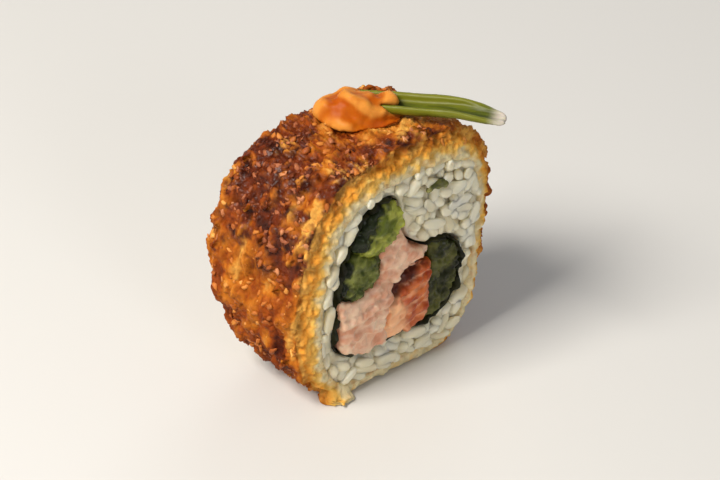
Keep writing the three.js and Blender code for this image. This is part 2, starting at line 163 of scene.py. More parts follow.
@dataclass(frozen=True)
class SliceForm:
    """The form of the slice in millimetres of its front cut face, as its solids have it."""

    shift: Vector = field(default_factory=lambda: Vector((1.3258, -8.1826, 0.0)))
    width: float = 43.0
    height: float = 47.4
    sunk: float = 1.9
    thick_top: float = 22.5
    thick_base: float = 14.5
    bulge: float = 3.6
    narrowing: float = 0.05
    sinking: float = 0.075
    back_shift: float = 2.5
    corner_top_right: float = 3.3
    corner_top_left: float = 2.8
    corner_bottom_left: float = 2.6
    corner_bottom_right: float = 4.0
    coat_side: float = 5.0
    coat_top: float = 6.0
    coat_far_side: float = 2.5
    coat_base: float = 1.9

    @property
    def centre_z(self) -> float:
        """Height of the middle of the outline."""
        return self.height - (self.height + self.sunk) / 2

    def from_frame(self, place: Vector) -> Vector:
        """A place in the frame, in metres, as one of the slice in millimetres."""
        return place / MM - self.shift

    def to_frame(self, point: Vector) -> Vector:
        """A place of the slice in millimetres as one in the frame, in metres."""
        return (point + self.shift) * MM

    def placing(self, x: float = 0.0, y: float = 0.0, z: float = 0.0) -> Matrix:
        """The matrix that sets a mesh of the slice in the frame, moved by some millimetres."""
        return Matrix.Scale(MM, 4) @ Matrix.Translation(self.shift + Vector((x, y, z)))

    def thickness(self, z: float) -> float:
        """Distance from the front cut to the back cut at a height."""
        lift = clamp(z / self.height)
        return lerp(self.thick_base, self.thick_top, lift) + self.bulge * math.sin(math.pi * lift)

    def flat(self, point: Vector) -> Vector:
        """Where a point would lie on the front cut face.

        Args:
            point: A place of the slice in millimetres.

        Returns:
            That place, with the share of the way to the back cut as y.
        """
        z = point.z
        depth = 0.0
        for _ in range(3):
            depth = point.y / self.thickness(z)
            z = point.z / (1 - self.sinking * clamp(depth))
        x = (point.x + self.back_shift * depth) / (1 - self.narrowing * depth)
        return Vector((x, depth, z))

    def under_skin(self, point: Vector) -> float:
        """How deep under the outside a point lies, as a share of the coat's thickness there.

        Args:
            point: A place of the slice in millimetres.

        Returns:
            0 on the outside, 1 where the rice begins.
        """
        spot = self.flat(point)
        x, z = spot.x, spot.z - self.centre_z
        right, top = x >= 0, z >= 0
        if right:
            power = self.corner_top_right if top else self.corner_bottom_right
        else:
            power = self.corner_top_left if top else self.corner_bottom_left
        half_width = self.width / 2
        half_height = (self.height + self.sunk) / 2
        share = (abs(x / half_width) ** power + abs(z / half_height) ** power) ** (1 / power)
        reach = math.hypot(x, z)
        if share < TINY or reach < TINY:
            return WELL_INSIDE
        up = z / reach
        across = self.coat_far_side if right else self.coat_side
        along = self.coat_top if top else self.coat_base
        return reach * (1 / share - 1) / lerp(across, along, up * up)


FORM = SliceForm()


# ------------------------------------------------------------------ meshes


def object_from(bm: bmesh.types.BMesh, name: str) -> bpy.types.Object:
    """Makes a smooth-shaded object at the origin from a bmesh.

    Args:
        bm: The mesh, which is freed.
        name: The new object's name.

    Returns:
        The new object.
    """
    mesh = bpy.data.meshes.new(name)
    bm.normal_update()
    bm.to_mesh(mesh)
    bm.free()
    mesh.shade_smooth()
    made = bpy.data.objects.new(name, mesh)
    bpy.context.scene.collection.objects.link(made)
    return made


def merged_solid(node: str) -> bmesh.types.BMesh:
    """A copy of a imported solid.

    Args:
        node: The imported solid.

    Returns:
        Its mesh, the triangles joined where they meet.
    """
    bm = bmesh.new()
    bm.from_mesh(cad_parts[node].data)
    bmesh.ops.remove_doubles(bm, verts=bm.verts, dist=1e-7)
    return bm


def ease(bm: bmesh.types.BMesh, times: int, factor: float) -> None:
    """Eases the points of a mesh towards their neighbours.

    Args:
        bm: The mesh.
        times: How many times.
        factor: How far each time, 1 being all the way.
    """
    axes = {"use_axis_x": True, "use_axis_y": True, "use_axis_z": True}
    for _ in range(times):
        bmesh.ops.smooth_vert(bm, verts=bm.verts, factor=factor, **axes)


def keep_mask(mesh: bpy.types.Mesh, name: str, values: list[float]) -> None:
    """Keeps one value for each point of a mesh, for its material to read."""
    mesh.attributes.new(name, "FLOAT", "POINT").data.foreach_set("value", values)


def carve(piece: bpy.types.Object, shape: Callable[[Vector, Vector], Move]) -> None:
    """Moves every point of a piece, and keeps masks for its material.

    Args:
        piece: A mesh object at the origin.
        shape: Takes a point of the slice in millimetres and its normal, and gives the move in
            millimetres and the masks there.
    """
    mesh = piece.data
    normals = [vertex.normal.copy() for vertex in mesh.vertices]
    masks: dict[str, list[float]] = {}
    for vertex, normal in zip(mesh.vertices, normals):
        move, values = shape(FORM.from_frame(vertex.co), normal)
        vertex.co += move * MM
        for key, value in values.items():
            masks.setdefault(key, []).append(value)
    for key, values in masks.items():
        keep_mask(mesh, key, values)
    mesh.update()


def rest_on_floor(piece: bpy.types.Object) -> None:
    """Keeps a piece from sinking through the surface that the slice stands on."""
    for vertex in piece.data.vertices:
        vertex.co.z = max(vertex.co.z, 0.0)


class Heap:
    """Many copies of a few small shapes in one mesh, all in millimetres of the slice."""

    def __init__(self, shapes: Iterable[bmesh.types.BMesh]) -> None:
        """Takes the shapes, each at the origin, and frees them.

        Args:
            shapes: The meshes to copy.
        """
        self.kinds: list[bpy.types.Mesh] = []
        for shape in shapes:
            self.kinds.append(bpy.data.meshes.new("kind"))
            shape.to_mesh(self.kinds[-1])
            shape.free()
        self.whole = bmesh.new()
        self.shades: list[float] = []

    def add(self, kind: bpy.types.Mesh, place: Matrix, shade: float) -> list[bmesh.types.BMVert]:
        """Adds a copy.

        Args:
            kind: Which shape.
            place: Where it goes, how it is turned and how large it is.
            shade: Its shade, for the material.

        Returns:
            The points of the copy.
        """
        first = len(self.whole.verts)
        self.whole.from_mesh(kind)
        self.whole.verts.ensure_lookup_table()
        fresh = self.whole.verts[first:]
        bmesh.ops.transform(self.whole, matrix=place, verts=fresh)
        self.shades.extend([shade] * len(fresh))
        return fresh

    def gather(self, name: str) -> bpy.types.Object:
        """Ends the heap.

        Args:
            name: The new piece's name.

        Returns:
            All the copies as one piece.
        """
        bmesh.ops.transform(self.whole, matrix=FORM.placing(), verts=self.whole.verts)
        piece = object_from(self.whole, name)
        keep_mask(piece.data, "shade", self.shades)
        for mesh in self.kinds:
            bpy.data.meshes.remove(mesh)
        rest_on_floor(piece)
        return piece


# ------------------------------------------------------------------ shader building


class Sketch:
    """A node tree that is built one line at a time."""

    def __init__(self, tree: bpy.types.NodeTree) -> None:
        """Takes the tree to build in."""
        self.tree = tree

    @cached_property
    def place(self) -> Socket:
        """The place on the piece."""
        return self.node("TexCoord").outputs["Object"]

    def node(self, kind: str, inputs: Inputs | None = None, **settings: object) -> bpy.types.Node:
        """Adds a node.

        Args:
            kind: The node's type, without the word ShaderNode.
            inputs: For an input's name or number, a value or the socket that feeds it.
            settings: The node's other settings.

        Returns:
            The new node.
        """
        made = self.tree.nodes.new("ShaderNode" + kind)
        for key, value in settings.items():
            setattr(made, key, value)
        for key, value in (inputs or {}).items():
            if isinstance(value, Socket):
                self.tree.links.new(value, made.inputs[key])
            else:
                made.inputs[key].default_value = value
        return made

    def maths(self, operation: str, *values: object) -> Socket:
        """The result of one sum on numbers or sockets."""
        return self.node("Math", dict(enumerate(values)), operation=operation).outputs[0]

    def mix(self, share: object, low: object, high: object, how: str = "MIX") -> Socket:
        """A mix of two colours."""
        made = self.node("Mix", {0: share, 6: low, 7: high}, data_type="RGBA", blend_type=how)
        return made.outputs[2]

    def ramp(self, value: object, *stops: tuple[float, Colour]) -> Socket:
        """A colour that changes with a value.

        Args:
            value: The value or its socket.
            stops: Each colour with the value at which it stands.

        Returns:
            The colour's socket.
        """
        made = self.node("ValToRGB", {0: value})
        elements = made.color_ramp.elements
        while len(elements) < len(stops):
            elements.new(0.5)
        for element, (position, colour) in zip(elements, stops):
            element.position = position
            element.color = colour
        return made.outputs[0]

    def spread(self, value: object, low: float, high: float) -> Socket:
        """A value stretched so that low becomes 0 and high becomes 1."""
        made = self.node("MapRange", {0: value, 1: low, 2: high}, interpolation_type="SMOOTHSTEP")
        return made.outputs[0]

    def attribute(self, name: str) -> Socket:
        """A mask that the piece's mesh carries."""
        return self.node("Attribute", attribute_name=name).outputs["Fac"]

    def effect(self, tree: bpy.types.NodeTree, **inputs: object) -> bpy.types.Node:
        """Places a shared effect, on the piece's own place unless another is given."""
        return self.node("Group", {"Place": self.place, **inputs}, node_tree=tree)

    def blotches(self, scale: float, contrast: float, *two: Colour) -> bpy.types.Node:
        """Soft blotches, in two colours if they are given."""
        colours = dict(zip(("First", "Second"), two))
        return self.effect(MOTTLE, Scale=scale, Contrast=contrast, **colours)

    def bump(self, effect: bpy.types.Node, depth: float) -> Socket:
        """A normal from the height that a shared effect gives, depth being in millimetres."""
        inputs = {"Height": effect.outputs["Height"], "Distance": depth * MM, "Strength": 1.0}
        return self.node("Bump", inputs).outputs[0]


class Carries(Enum):
    """What a socket of a shared effect carries."""

    PLACE = "NodeSocketVector"
    VALUE = "NodeSocketFloat"
    COLOUR = "NodeSocketColor"


class Effect(Sketch):
    """A shared effect: a node group with named inputs and outputs."""

    def __init__(self, name: str, usual: dict[str, float | Colour], *outputs: str) -> None:
        """Starts the group.

        Args:
            name: The group's name.
            usual: The usual value of each input apart from Place.
            outputs: The name of each output. Color carries a colour, the others a value.
        """
        super().__init__(bpy.data.node_groups.new(name, "ShaderNodeTree"))
        new_socket = self.tree.interface.new_socket
        new_socket("Place", in_out="INPUT", socket_type=Carries.PLACE.value)
        for label, value in usual.items():
            kind = Carries.COLOUR if isinstance(value, tuple) else Carries.VALUE
            new_socket(label, in_out="INPUT", socket_type=kind.value).default_value = value
        for label in outputs:
            kind = Carries.COLOUR if label == "Color" else Carries.VALUE
            new_socket(label, in_out="OUTPUT", socket_type=kind.value)
        self.given = self.tree.nodes.new("NodeGroupInput").outputs
        self.result = self.tree.nodes.new("NodeGroupOutput").inputs

    def give(self, label: str, value: Socket) -> None:
        """Feeds an output of the group."""
        self.tree.links.new(value, self.result[label])


def mottle() -> bpy.types.NodeTree:
    """Soft blotches of two colours.

    Returns:
        The group. Its mask says where the second colour is.
    """
    usual = {
        "Scale": 300.0,
        "Contrast": 0.2,
        "First": (0.5, 0.5, 0.5, 1.0),
        "Second": (0.8, 0.8, 0.8, 1.0),
    }
    made = Effect("mottle", usual, "Color", "Mask")
    given = made.given
    where = {"Vector": given["Place"], "Scale": given["Scale"], "Detail": 5.0, "Distortion": 0.4}
    blotches = made.node("TexNoise", where).outputs[0]
    low = made.maths("SUBTRACT", 0.5, given["Contrast"])
    high = made.maths("ADD", 0.5, given["Contrast"])
    mask = made.node("MapRange", {0: blotches, 1: low, 2: high}).outputs[0]
    made.give("Color", made.mix(mask, given["First"], given["Second"]))
    made.give("Mask", mask)
    return made.tree


def crumble() -> bpy.types.NodeTree:
    """Height of a crumbly, grainy skin.

    Returns:
        The group.
    """
    made = Effect("crumble", {"Scale": 900.0, "Grains": 0.5}, "Height")
    where = {"Vector": made.given["Place"], "Scale": made.given["Scale"]}
    rough = made.node("TexNoise", {**where, "Detail": 6.0, "Roughness": 0.65})
    cells = made.node("TexVoronoi", where, feature="SMOOTH_F1")
    rounded = made.maths("SUBTRACT", 1.0, cells.outputs[0])
    grains = made.maths("MULTIPLY", rounded, made.given["Grains"])
    made.give("Height", made.maths("ADD", rough.outputs[0], grains))
    return made.tree


def fibres() -> bpy.types.NodeTree:
    """Height of fine lines along X, as in leaves, fish and seaweed.

    Returns:
        The group.
    """
    made = Effect("fibres", {"Scale": 900.0, "Stretch": 0.1}, "Height")
    stretch = made.node("CombineXYZ", {0: made.given["Stretch"], 1: 1.0, 2: 1.0}).outputs[0]
    inputs = {0: made.given["Place"], 1: stretch}
    place = made.node("VectorMath", inputs, operation="MULTIPLY").outputs[0]
    inputs = {"Vector": place, "Scale": made.given["Scale"], "Detail": 3.0}
    made.give("Height", made.node("TexNoise", inputs).outputs[0])
    return made.tree


MOTTLE, CRUMBLE, FIBRES = mottle(), crumble(), fibres()


# ------------------------------------------------------------------ finishes


def soft(weight: float, radius: Triple, depth: float) -> Inputs:
    """How light soaks in: its share, its colour and how deep it goes in millimetres."""
    names = ("Subsurface Weight", "Subsurface Radius", "Subsurface Scale")
    return dict(zip(names, (weight, radius, depth * MM)))


class Finish:
    """What a piece is made of. Each kind has its own colours and builds its own nodes."""

    name: str = "finish"

    @cache
    def material(self) -> bpy.types.Material:
        """The material, which equal finishes share.

        Returns:
            It, built the first time that it is asked for.
        """
        made = bpy.data.materials.new(self.name)
        made.use_nodes = True
        made.node_tree.nodes.clear()
        sketch = Sketch(made.node_tree)
        surface = sketch.node("BsdfPrincipled", self.dress(sketch))
        sketch.node("OutputMaterial", {"Surface": surface.outputs[0]})
        return made

    def dress(self, sketch: Sketch) -> Inputs:
        """Builds the pattern.

        Args:
            sketch: The material's nodes.

        Returns:
            A value or a socket for each input of the surface that this finish sets.
        """
        raise NotImplementedError


@dataclass(frozen=True)
class FriedCoat(Finish):
    """Crisp batter: golden, browner on the crags, red-brown and shiny where it is glazed."""

    name: str = "fried_coat"
    pale: Colour = rgb(232, 170, 78)
    golden: Colour = rgb(194, 112, 28)
    orange: Colour = rgb(150, 68, 13)
    brown: Colour = rgb(76, 24, 5)
    glaze_dark: Colour = rgb(50, 14, 4)
    glaze_light: Colour = rgb(112, 44, 12)
    rim: Colour = rgb(242, 156, 46)
    rim_pale: Colour = rgb(250, 198, 98)
    crumb: Colour = rgb(250, 232, 184)
    speck: Colour = rgb(176, 176, 176)
    no_speck: Colour = rgb(255, 255, 255)
    specks: float = 0.6
    matt: float = 0.55
    glossy: float = 0.27

    def dress(self, sketch: Sketch) -> Inputs:
        """Colours it by how toasted, how glazed and how deep under the skin it is. The toast mask
        also holds painted highlights, where the coat is paler.

        Args:
            sketch: The material's nodes.

        Returns:
            The surface's inputs.
        """
        fine = sketch.blotches(620.0, 0.22, self.speck, self.no_speck).outputs
        glazed = sketch.blotches(420.0, 0.16, self.glaze_dark, self.glaze_light).outputs["Color"]
        glaze = sketch.attribute("glaze")
        toast_and_highlight = sketch.maths("MULTIPLY", fine["Mask"], -0.12)
        toast_and_highlight = sketch.maths("ADD", sketch.attribute("toast_and_highlight"), toast_and_highlight)
        tones = ((0.0, self.pale), (0.3, self.golden), (0.62, self.orange), (0.95, self.brown))
        skin = sketch.mix(glaze, sketch.ramp(toast_and_highlight, *tones), glazed)
        tones = ((0.38, self.rim), (0.72, self.rim_pale), (0.98, self.crumb))
        fresh = sketch.ramp(sketch.attribute("deep"), *tones)
        inside = sketch.mix(sketch.spread(toast_and_highlight, 0.4, 1.05), fresh, self.golden)
        colour = sketch.mix(sketch.attribute("cut"), skin, inside)
        crust = sketch.effect(CRUMBLE, Scale=1500.0, Grains=0.6)
        rough = sketch.node("MapRange", {0: glaze, 3: self.matt, 4: self.glossy}).outputs[0]
        return {
            "Base Color": sketch.mix(self.specks, colour, fine["Color"], "MULTIPLY"),
            "Roughness": rough,
            "Specular IOR Level": 0.12,
            "Coat Weight": sketch.maths("MULTIPLY", glaze, 0.1),
            "Coat Roughness": 0.16,
            "Normal": sketch.bump(crust, depth=0.22),
            **soft(0.12, (1.0, 0.5, 0.2), 1.0),
        }


@dataclass(frozen=True)
class Crumbs(Finish):
    """Loose crisp crumbs, each of the shade that its part of the crust has."""

    name: str = "crumbs"
    pale: Colour = rgb(226, 160, 78)
    golden: Colour = rgb(188, 110, 42)
    orange: Colour = rgb(142, 70, 28)
    brown: Colour = rgb(82, 32, 14)

    def dress(self, sketch: Sketch) -> Inputs:
        """Colours each crumb by its own shade.

        Args:
            sketch: The material's nodes.

        Returns:
            The surface's inputs.
        """
        tones = ((0.0, self.pale), (0.35, self.golden), (0.68, self.orange), (1.0, self.brown))
        return {
            "Base Color": sketch.ramp(sketch.attribute("shade"), *tones),
            "Roughness": 0.42,
            "Specular IOR Level": 0.2,
            "Normal": sketch.bump(sketch.effect(CRUMBLE, Scale=1800.0, Grains=0.4), depth=0.12),
            **soft(0.15, (1.0, 0.6, 0.3), 0.6),
        }


@dataclass(frozen=True)
class Rice(Finish):
    """Moist white rice, a little see-through."""

    name: str = "rice"
    white: Colour = rgb(240, 231, 204)
    shadow: Colour = rgb(218, 203, 166)

    def dress(self, sketch: Sketch) -> Inputs:
        """Mixes two whites by each grain's shade.

        Args:
            sketch: The material's nodes.

        Returns:
            The surface's inputs.
        """
        patches = sketch.blotches(240.0, 0.25, self.shadow, self.white).outputs["Color"]
        return {
            "Base Color": sketch.mix(sketch.attribute("shade"), patches, self.white),
            "Roughness": 0.34,
            "Specular IOR Level": 0.3,
            "Coat Weight": 0.12,
            "Coat Roughness": 0.12,
            "Normal": sketch.bump(sketch.effect(CRUMBLE, Scale=700.0, Grains=0.2), depth=0.08),
            **soft(0.7, (1.0, 0.88, 0.66), 1.6),
        }


@dataclass(frozen=True)
class Nori(Finish):
    """Damp dark seaweed with fine fibres."""

    name: str = "nori"
    dark: Colour = rgb(18, 18, 9)
    green: Colour = rgb(50, 50, 20)

    def dress(self, sketch: Sketch) -> Inputs:
        """Dark green blotches under a damp sheen.

        Args:
            sketch: The material's nodes.

        Returns:
            The surface's inputs.
        """
        return {
            "Base Color": sketch.blotches(500.0, 0.18, self.dark, self.green).outputs["Color"],
            "Roughness": 0.5,
            "Specular IOR Level": 0.2,
            "Normal": sketch.bump(sketch.effect(FIBRES, Scale=1400.0, Stretch=0.35), depth=0.12),
        }


@dataclass(frozen=True)
class Vegetable(Finish):
    """Wet green flesh under a darker skin."""

    name: str = "vegetable"
    flesh: Colour = rgb(178, 180, 78)
    deep_flesh: Colour = rgb(96, 106, 30)
    skin: Colour = rgb(30, 38, 12)

    def dress(self, sketch: Sketch) -> Inputs:
        """Flesh in blotches, with skin where its mask says.

        Args:
            sketch: The material's nodes.

        Returns:
            The surface's inputs.
        """
        flesh = sketch.blotches(300.0, 0.1, self.deep_flesh, self.flesh).outputs["Color"]
        return {
            "Base Color": sketch.mix(sketch.attribute("skin"), flesh, self.skin),
            "Roughness": 0.27,
            "Specular IOR Level": 0.2,
            "Normal": sketch.bump(sketch.effect(FIBRES, Scale=1100.0, Stretch=0.6), depth=0.15),
            **soft(0.25, (0.6, 1.0, 0.3), 1.0),
        }


@dataclass(frozen=True)
class Fish(Finish):
    """Flaky flesh with pale lines between its flakes, a painted highlight on one side, and a
    darker outside that is partly painted shade of the gaps beside it.
    """

    name: str = "fish"
    flesh: Colour = rgb(222, 154, 120)
    pale: Colour = rgb(248, 210, 178)
    # lit colours the pale lines between flakes and the painted highlight on the highlight side.
    lit: Colour = rgb(250, 216, 186)
    # edge: the darker outside of the flesh, partly painted shade along the crevices and gaps
    # beside the next pieces.
    edge: Colour = rgb(164, 78, 44)

    def dress(self, sketch: Sketch) -> Inputs:
        """Flesh, pale lines and a painted highlight by the line mask, and the outside, partly
        painted shade, by the skin mask.

        Args:
            sketch: The material's nodes.

        Returns:
            The surface's inputs.
        """
        flesh = sketch.blotches(300.0, 0.14, self.flesh, self.pale).outputs["Color"]
        colour = sketch.mix(sketch.attribute("lines_and_highlight"), flesh, self.lit)
        return {
            "Base Color": sketch.mix(sketch.attribute("skin"), colour, self.edge),
            "Roughness": 0.28,
            "Specular IOR Level": 0.25,
            "Coat Weight": 0.1,
            "Coat Roughness": 0.08,
            "Normal": sketch.bump(sketch.effect(FIBRES, Scale=900.0, Stretch=0.3), depth=0.2),
            **soft(0.3, (1.0, 0.45, 0.3), 1.2),
        }


@dataclass(frozen=True)
class Sauce(Finish):
    """Creamy orange sauce with redder and paler streaks."""

    name: str = "spicy_mayo"
    orange: Colour = rgb(180, 92, 11)
    red: Colour = rgb(166, 74, 6)
    pale: Colour = rgb(210, 136, 54)

    def dress(self, sketch: Sketch) -> Inputs:
        """Streaks of the three colours, the pale one on the crests.

        Args:
            sketch: The material's nodes.

        Returns:
            The surface's inputs.
        """
        deep = sketch.blotches(190.0, 0.11, self.orange, self.red).outputs["Color"]
        streaks = sketch.blotches(260.0, 0.25).outputs["Mask"]
        crest = sketch.maths("MULTIPLY", sketch.attribute("crest"), 1.2)
        share = sketch.maths("MULTIPLY", sketch.maths("ADD", streaks, 0.35), crest)
        return {
            "Base Color": sketch.mix(share, deep, self.pale),
            "Roughness": 0.45,
            "Specular IOR Level": 0.1,
            **soft(0.12, (1.0, 0.5, 0.2), 1.5),
        }


@dataclass(frozen=True)
class Leaf(Finish):
    """Spring onion leaf: green with fine lines, paler to its ends and edges."""

    name: str = "spring_onion"
    green: Colour = rgb(86, 92, 12)
    dark: Colour = rgb(56, 64, 9)
    pale: Colour = rgb(118, 118, 30)
    tip: Colour = rgb(190, 180, 166)

    def dress(self, sketch: Sketch) -> Inputs:
        """Lines along the leaf, and the masks of its edges and ends.

        Args:
            sketch: The material's nodes.

        Returns:
            The surface's inputs.
        """
        turn = {"Vector": sketch.place, "Rotation": (0, 0, -LEAF_HEADING)}
        place = sketch.node("Mapping", turn).outputs[0]
        lines = sketch.effect(FIBRES, Place=place, Scale=1000.0, Stretch=0.05)
        colour = sketch.mix(sketch.spread(lines.outputs[0], 0.35, 0.65), self.dark, self.green)
        colour = sketch.mix(sketch.attribute("edge"), colour, self.pale)
        return {
            "Base Color": sketch.mix(sketch.attribute("tip"), colour, self.tip),
            "Roughness": 0.42,
            "Specular IOR Level": 0.2,
            "Normal": sketch.bump(lines, depth=0.12),
            **soft(0.2, (0.5, 1.0, 0.2), 0.8),
        }


@dataclass(frozen=True)
class Floor(Finish):
    """A plain pale studio floor."""

    name: str = "floor"
    colour: Colour = rgb(210, 208, 204)

    def dress(self, sketch: Sketch) -> Inputs:
        """One soft colour, without nodes."""
        return {"Base Color": self.colour, "Roughness": 0.7}


# ------------------------------------------------------------------ carved pieces


def put_in_place(
    piece: bpy.types.Object, finish: Finish, slot: str, *nodes: str
) -> bpy.types.Object:
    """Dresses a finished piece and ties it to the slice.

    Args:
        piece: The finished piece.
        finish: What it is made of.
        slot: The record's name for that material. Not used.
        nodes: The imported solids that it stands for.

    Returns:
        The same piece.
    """
    piece.data.materials.clear()
    piece.data.materials.append(finish.material())
    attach(piece, BODY)
    if nodes:
        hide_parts(*nodes)
    log.info("%s: %d faces", piece.name, len(piece.data.polygons))
    return piece


@dataclass
class Carved:
    """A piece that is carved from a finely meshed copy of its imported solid.

    The grid is the size of the new faces in millimetres, and smoothing says how many times
    their points are eased towards their neighbours.
    """

    name: str
    slot: str
    finish: Finish
    node: str = ""
    grid: float = 0.32
    smoothing: int = 3

    def rough_piece(self) -> bpy.types.Object:
        """The piece before it is carved.

        Returns:
            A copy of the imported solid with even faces.
        """
        piece = object_from(merged_solid(self.node), self.name)
        even = piece.modifiers.new("even", "REMESH")
        even.mode = "VOXEL"
        even.voxel_size = self.grid * MM
        bpy.context.view_layer.update()
        graph = bpy.context.evaluated_depsgraph_get()
        mesh = bpy.data.meshes.new_from_object(piece.evaluated_get(graph))
        piece.modifiers.clear()
        piece.data = mesh
        bm = bmesh.new()
        bm.from_mesh(mesh)
        ease(bm, self.smoothing, 0.5)
        bm.normal_update()
        bm.to_mesh(mesh)
        bm.free()
        mesh.shade_smooth()
        return piece

    def shape(self, point: Vector, normal: Vector) -> Move:
        """How one point is carved.

        Args:
            point: A place of the slice in millimetres.
            normal: Which way the surface faces there.

        Returns:
            The move in millimetres, and the masks for the finish.
        """
        raise NotImplementedError

    def build(self) -> bpy.types.Object:
        """Makes the piece, in place of its solid if it has one.

        Returns:
            The finished piece.
        """
        piece = self.rough_piece()
        carve(piece, self.shape)
        rest_on_floor(piece)
        nodes = [self.node] if self.node else []
        return put_in_place(piece, self.finish, self.slot, *nodes)


@dataclass
class Thin(Carved):
    """A thin piece, whose solid keeps its own edges but has them cut finer and eased."""

    cuts: int = 2
    rounding: float = 0.0
    easing: float = 0.3

    def rough_piece(self) -> bpy.types.Object:
        """The piece before it is carved.

        Returns:
            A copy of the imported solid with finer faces.
        """
        bm = merged_solid(self.node)
        finer = {"cuts": self.cuts, "use_grid_fill": True, "smooth": self.rounding}
        bmesh.ops.subdivide_edges(bm, edges=bm.edges, **finer)
        ease(bm, self.smoothing, self.easing)
        return object_from(bm, self.name)


# ------------------------------------------------------------------ the coat


@dataclass
class Coat(Carved):
    """The craggy coat round the slice, with its glaze."""

    name: str = "coat"
    slot: str = "fried_coat"
    finish: Finish = FriedCoat()
    node: str = "fried_coat"
    grid: float = 0.31
    smoothing: int = 5
    swell: Lumps = Lumps(5.0, 2, 8.0, 0.5)
    crags: Lumps = Lumps(2.6, 4, 0.0, 0.5)
    folds: Lumps = Lumps(3.4, 3, 12.0)
    ridge: float = 0.4
    plates: Flakes = Flakes(1.9)
    plate_height: float = 0.27
    chips: Flakes = Flakes(0.95, 5.0)
    chip_height: float = 0.1
    grit: Lumps = Lumps(0.8, 3, 7.0, 0.14)
    streak: float = 0.42
    glaze_film: float = 0.1
    glaze_patches: Lumps = Lumps(7.0, 2, 4.2, 0.55)
    glaze_spots: Lumps = Lumps(2.0, 3, 1.2, 0.35)
    wear: Lumps = Lumps(3.0, 2, 14.0, 0.6)
    rim_crags: Lumps = Lumps(1.5, 4, 2.0, 0.55)
    rim_folds: Lumps = Lumps(2.4, 3, 9.0)
    rim_round: float = 0.5
    edge_round: float = 1.25
    edge_reach: float = 3.2
    pore_size: float = 1.35
    pore_depth: float = 0.45
    skirt: Pair = (-11.4, 0.1)
    torn_x: Lumps = Lumps(1.8, 3, 21.0)
    torn_y: Lumps = Lumps(1.8, 3, 25.0)
    tongue_drop: float = 0.62
    toast_patches: Lumps = Lumps(6.5, 3, 3.3, 0.42)
    toast_spots: Lumps = Lumps(2.3, 3, 9.1, 0.3)
    crumb_depth: Lumps = Lumps(2.0, 4, 6.0, 0.26)
    cream: Lumps = Lumps(2.2, 2, 31.0, 0.5)

    def glaze_at(self, flat: Vector) -> float:
        """How thick the glaze lies.

        Args:
            flat: x and z on the cut face in millimetres, with the depth from 0 to 1 as y.

        Returns:
            0 where it is bare, 1 where it is covered.
        """
        around = math.degrees(math.atan2(flat.z - FORM.centre_z, flat.x))
        covered = smoothstep(185, 150, around) * smoothstep(25, 105, around)
        place = Vector((flat.x, flat.y * 20, flat.z))
        patches = 0.5 + self.glaze_patches.at(place) + self.glaze_spots.at(place)
        pool = smoothstep(172, 145, around) * smoothstep(100, 128, around)
        return smoothstep(0.3, 0.75, patches * (0.2 + 0.9 * covered) + 0.22 * pool)

    def shape(self, point: Vector, normal: Vector) -> Move:
        """Crags on the outside, crumb on the cuts, and the masks for its colour.

        Args:
            point: A place of the slice in millimetres.
            normal: Which way the surface faces there.

        Returns:
            The move in millimetres, and the masks for the finish.
        """
        away = Vector((point.x, 0.0, point.z - FORM.centre_z)).normalized()
        flat = FORM.flat(point)
        outside = smoothstep(-0.2, 0.25, normal.dot(away))
        cut = smoothstep(0.5, 0.85, abs(normal.y))
        within = (1 - outside) * (1 - cut)
        deep = clamp(FORM.under_skin(point))
        left = smoothstep(-4.0, -14.0, point.x)

        # The outside. Its pattern is drawn out downwards at the left.
        drawn = Vector((point.x, point.y, point.z * lerp(1.0, self.streak, left)))
        plates, own_plate = self.plates.at(drawn)
        chips, own_chip = self.chips.at(point)
        crest = self.crags.at(drawn) + self.ridge * (0.5 - abs(self.folds.at(drawn)) * 1.6)
        crest += self.plate_height * plates + self.chip_height * chips
        glaze = self.glaze_at(flat) * (1 - 0.6 * cut) * smoothstep(0.6, 0.0, crest - 0.1)
        outer = self.swell.at(point) + crest * (1 - 0.3 * glaze) + self.grit.at(point)
        outer += self.glaze_film * glaze

        # The cuts, and the edges that both sides round off alike.
        worn = 0.7 + self.wear.at(point)
        to_edge = min(flat.y, 1 - flat.y) * FORM.thickness(flat.z)
        near_edge = smoothstep(self.edge_reach, 0.0, math.hypot(to_edge, 4.0 * deep))
        inwards = -(away + Vector((0.0, -1.0 if flat.y < 0.5 else 1.0, 0.0))).normalized()
        rounded = inwards * (self.edge_round * worn * near_edge)
        stirred = point + 0.5 * noise.noise_vector(point)
        pores = smoothstep(0.35, 0.85, pebbles(stirred, self.pore_size, 3.0))
        rim = self.rim_crags.at(point) + 0.5 * (0.4 - abs(self.rim_folds.at(point)))
        rim += self.chip_height * chips - self.pore_depth * pores - 0.08
        rim -= self.rim_round * worn * smoothstep(0.6, 0.0, deep)
        rim += 0.3 * smoothstep(0.75, 1.0, deep)

        # The tongue of batter at the foot.
        from_skirt = math.hypot(point.x - self.skirt[0], point.y - self.skirt[1])
        tongue = smoothstep(-0.1, -0.9, point.y) * smoothstep(5.0, 3.6, from_skirt)
        drop = -self.tongue_drop * point.z
        torn = Vector((self.torn_x.at(point), self.torn_y.at(point), drop))
        creamy = 0.55 + self.cream.at(point)
        creamy += 0.55 * smoothstep(self.skirt[0] - 1.2, self.skirt[0] + 1.4, point.x)
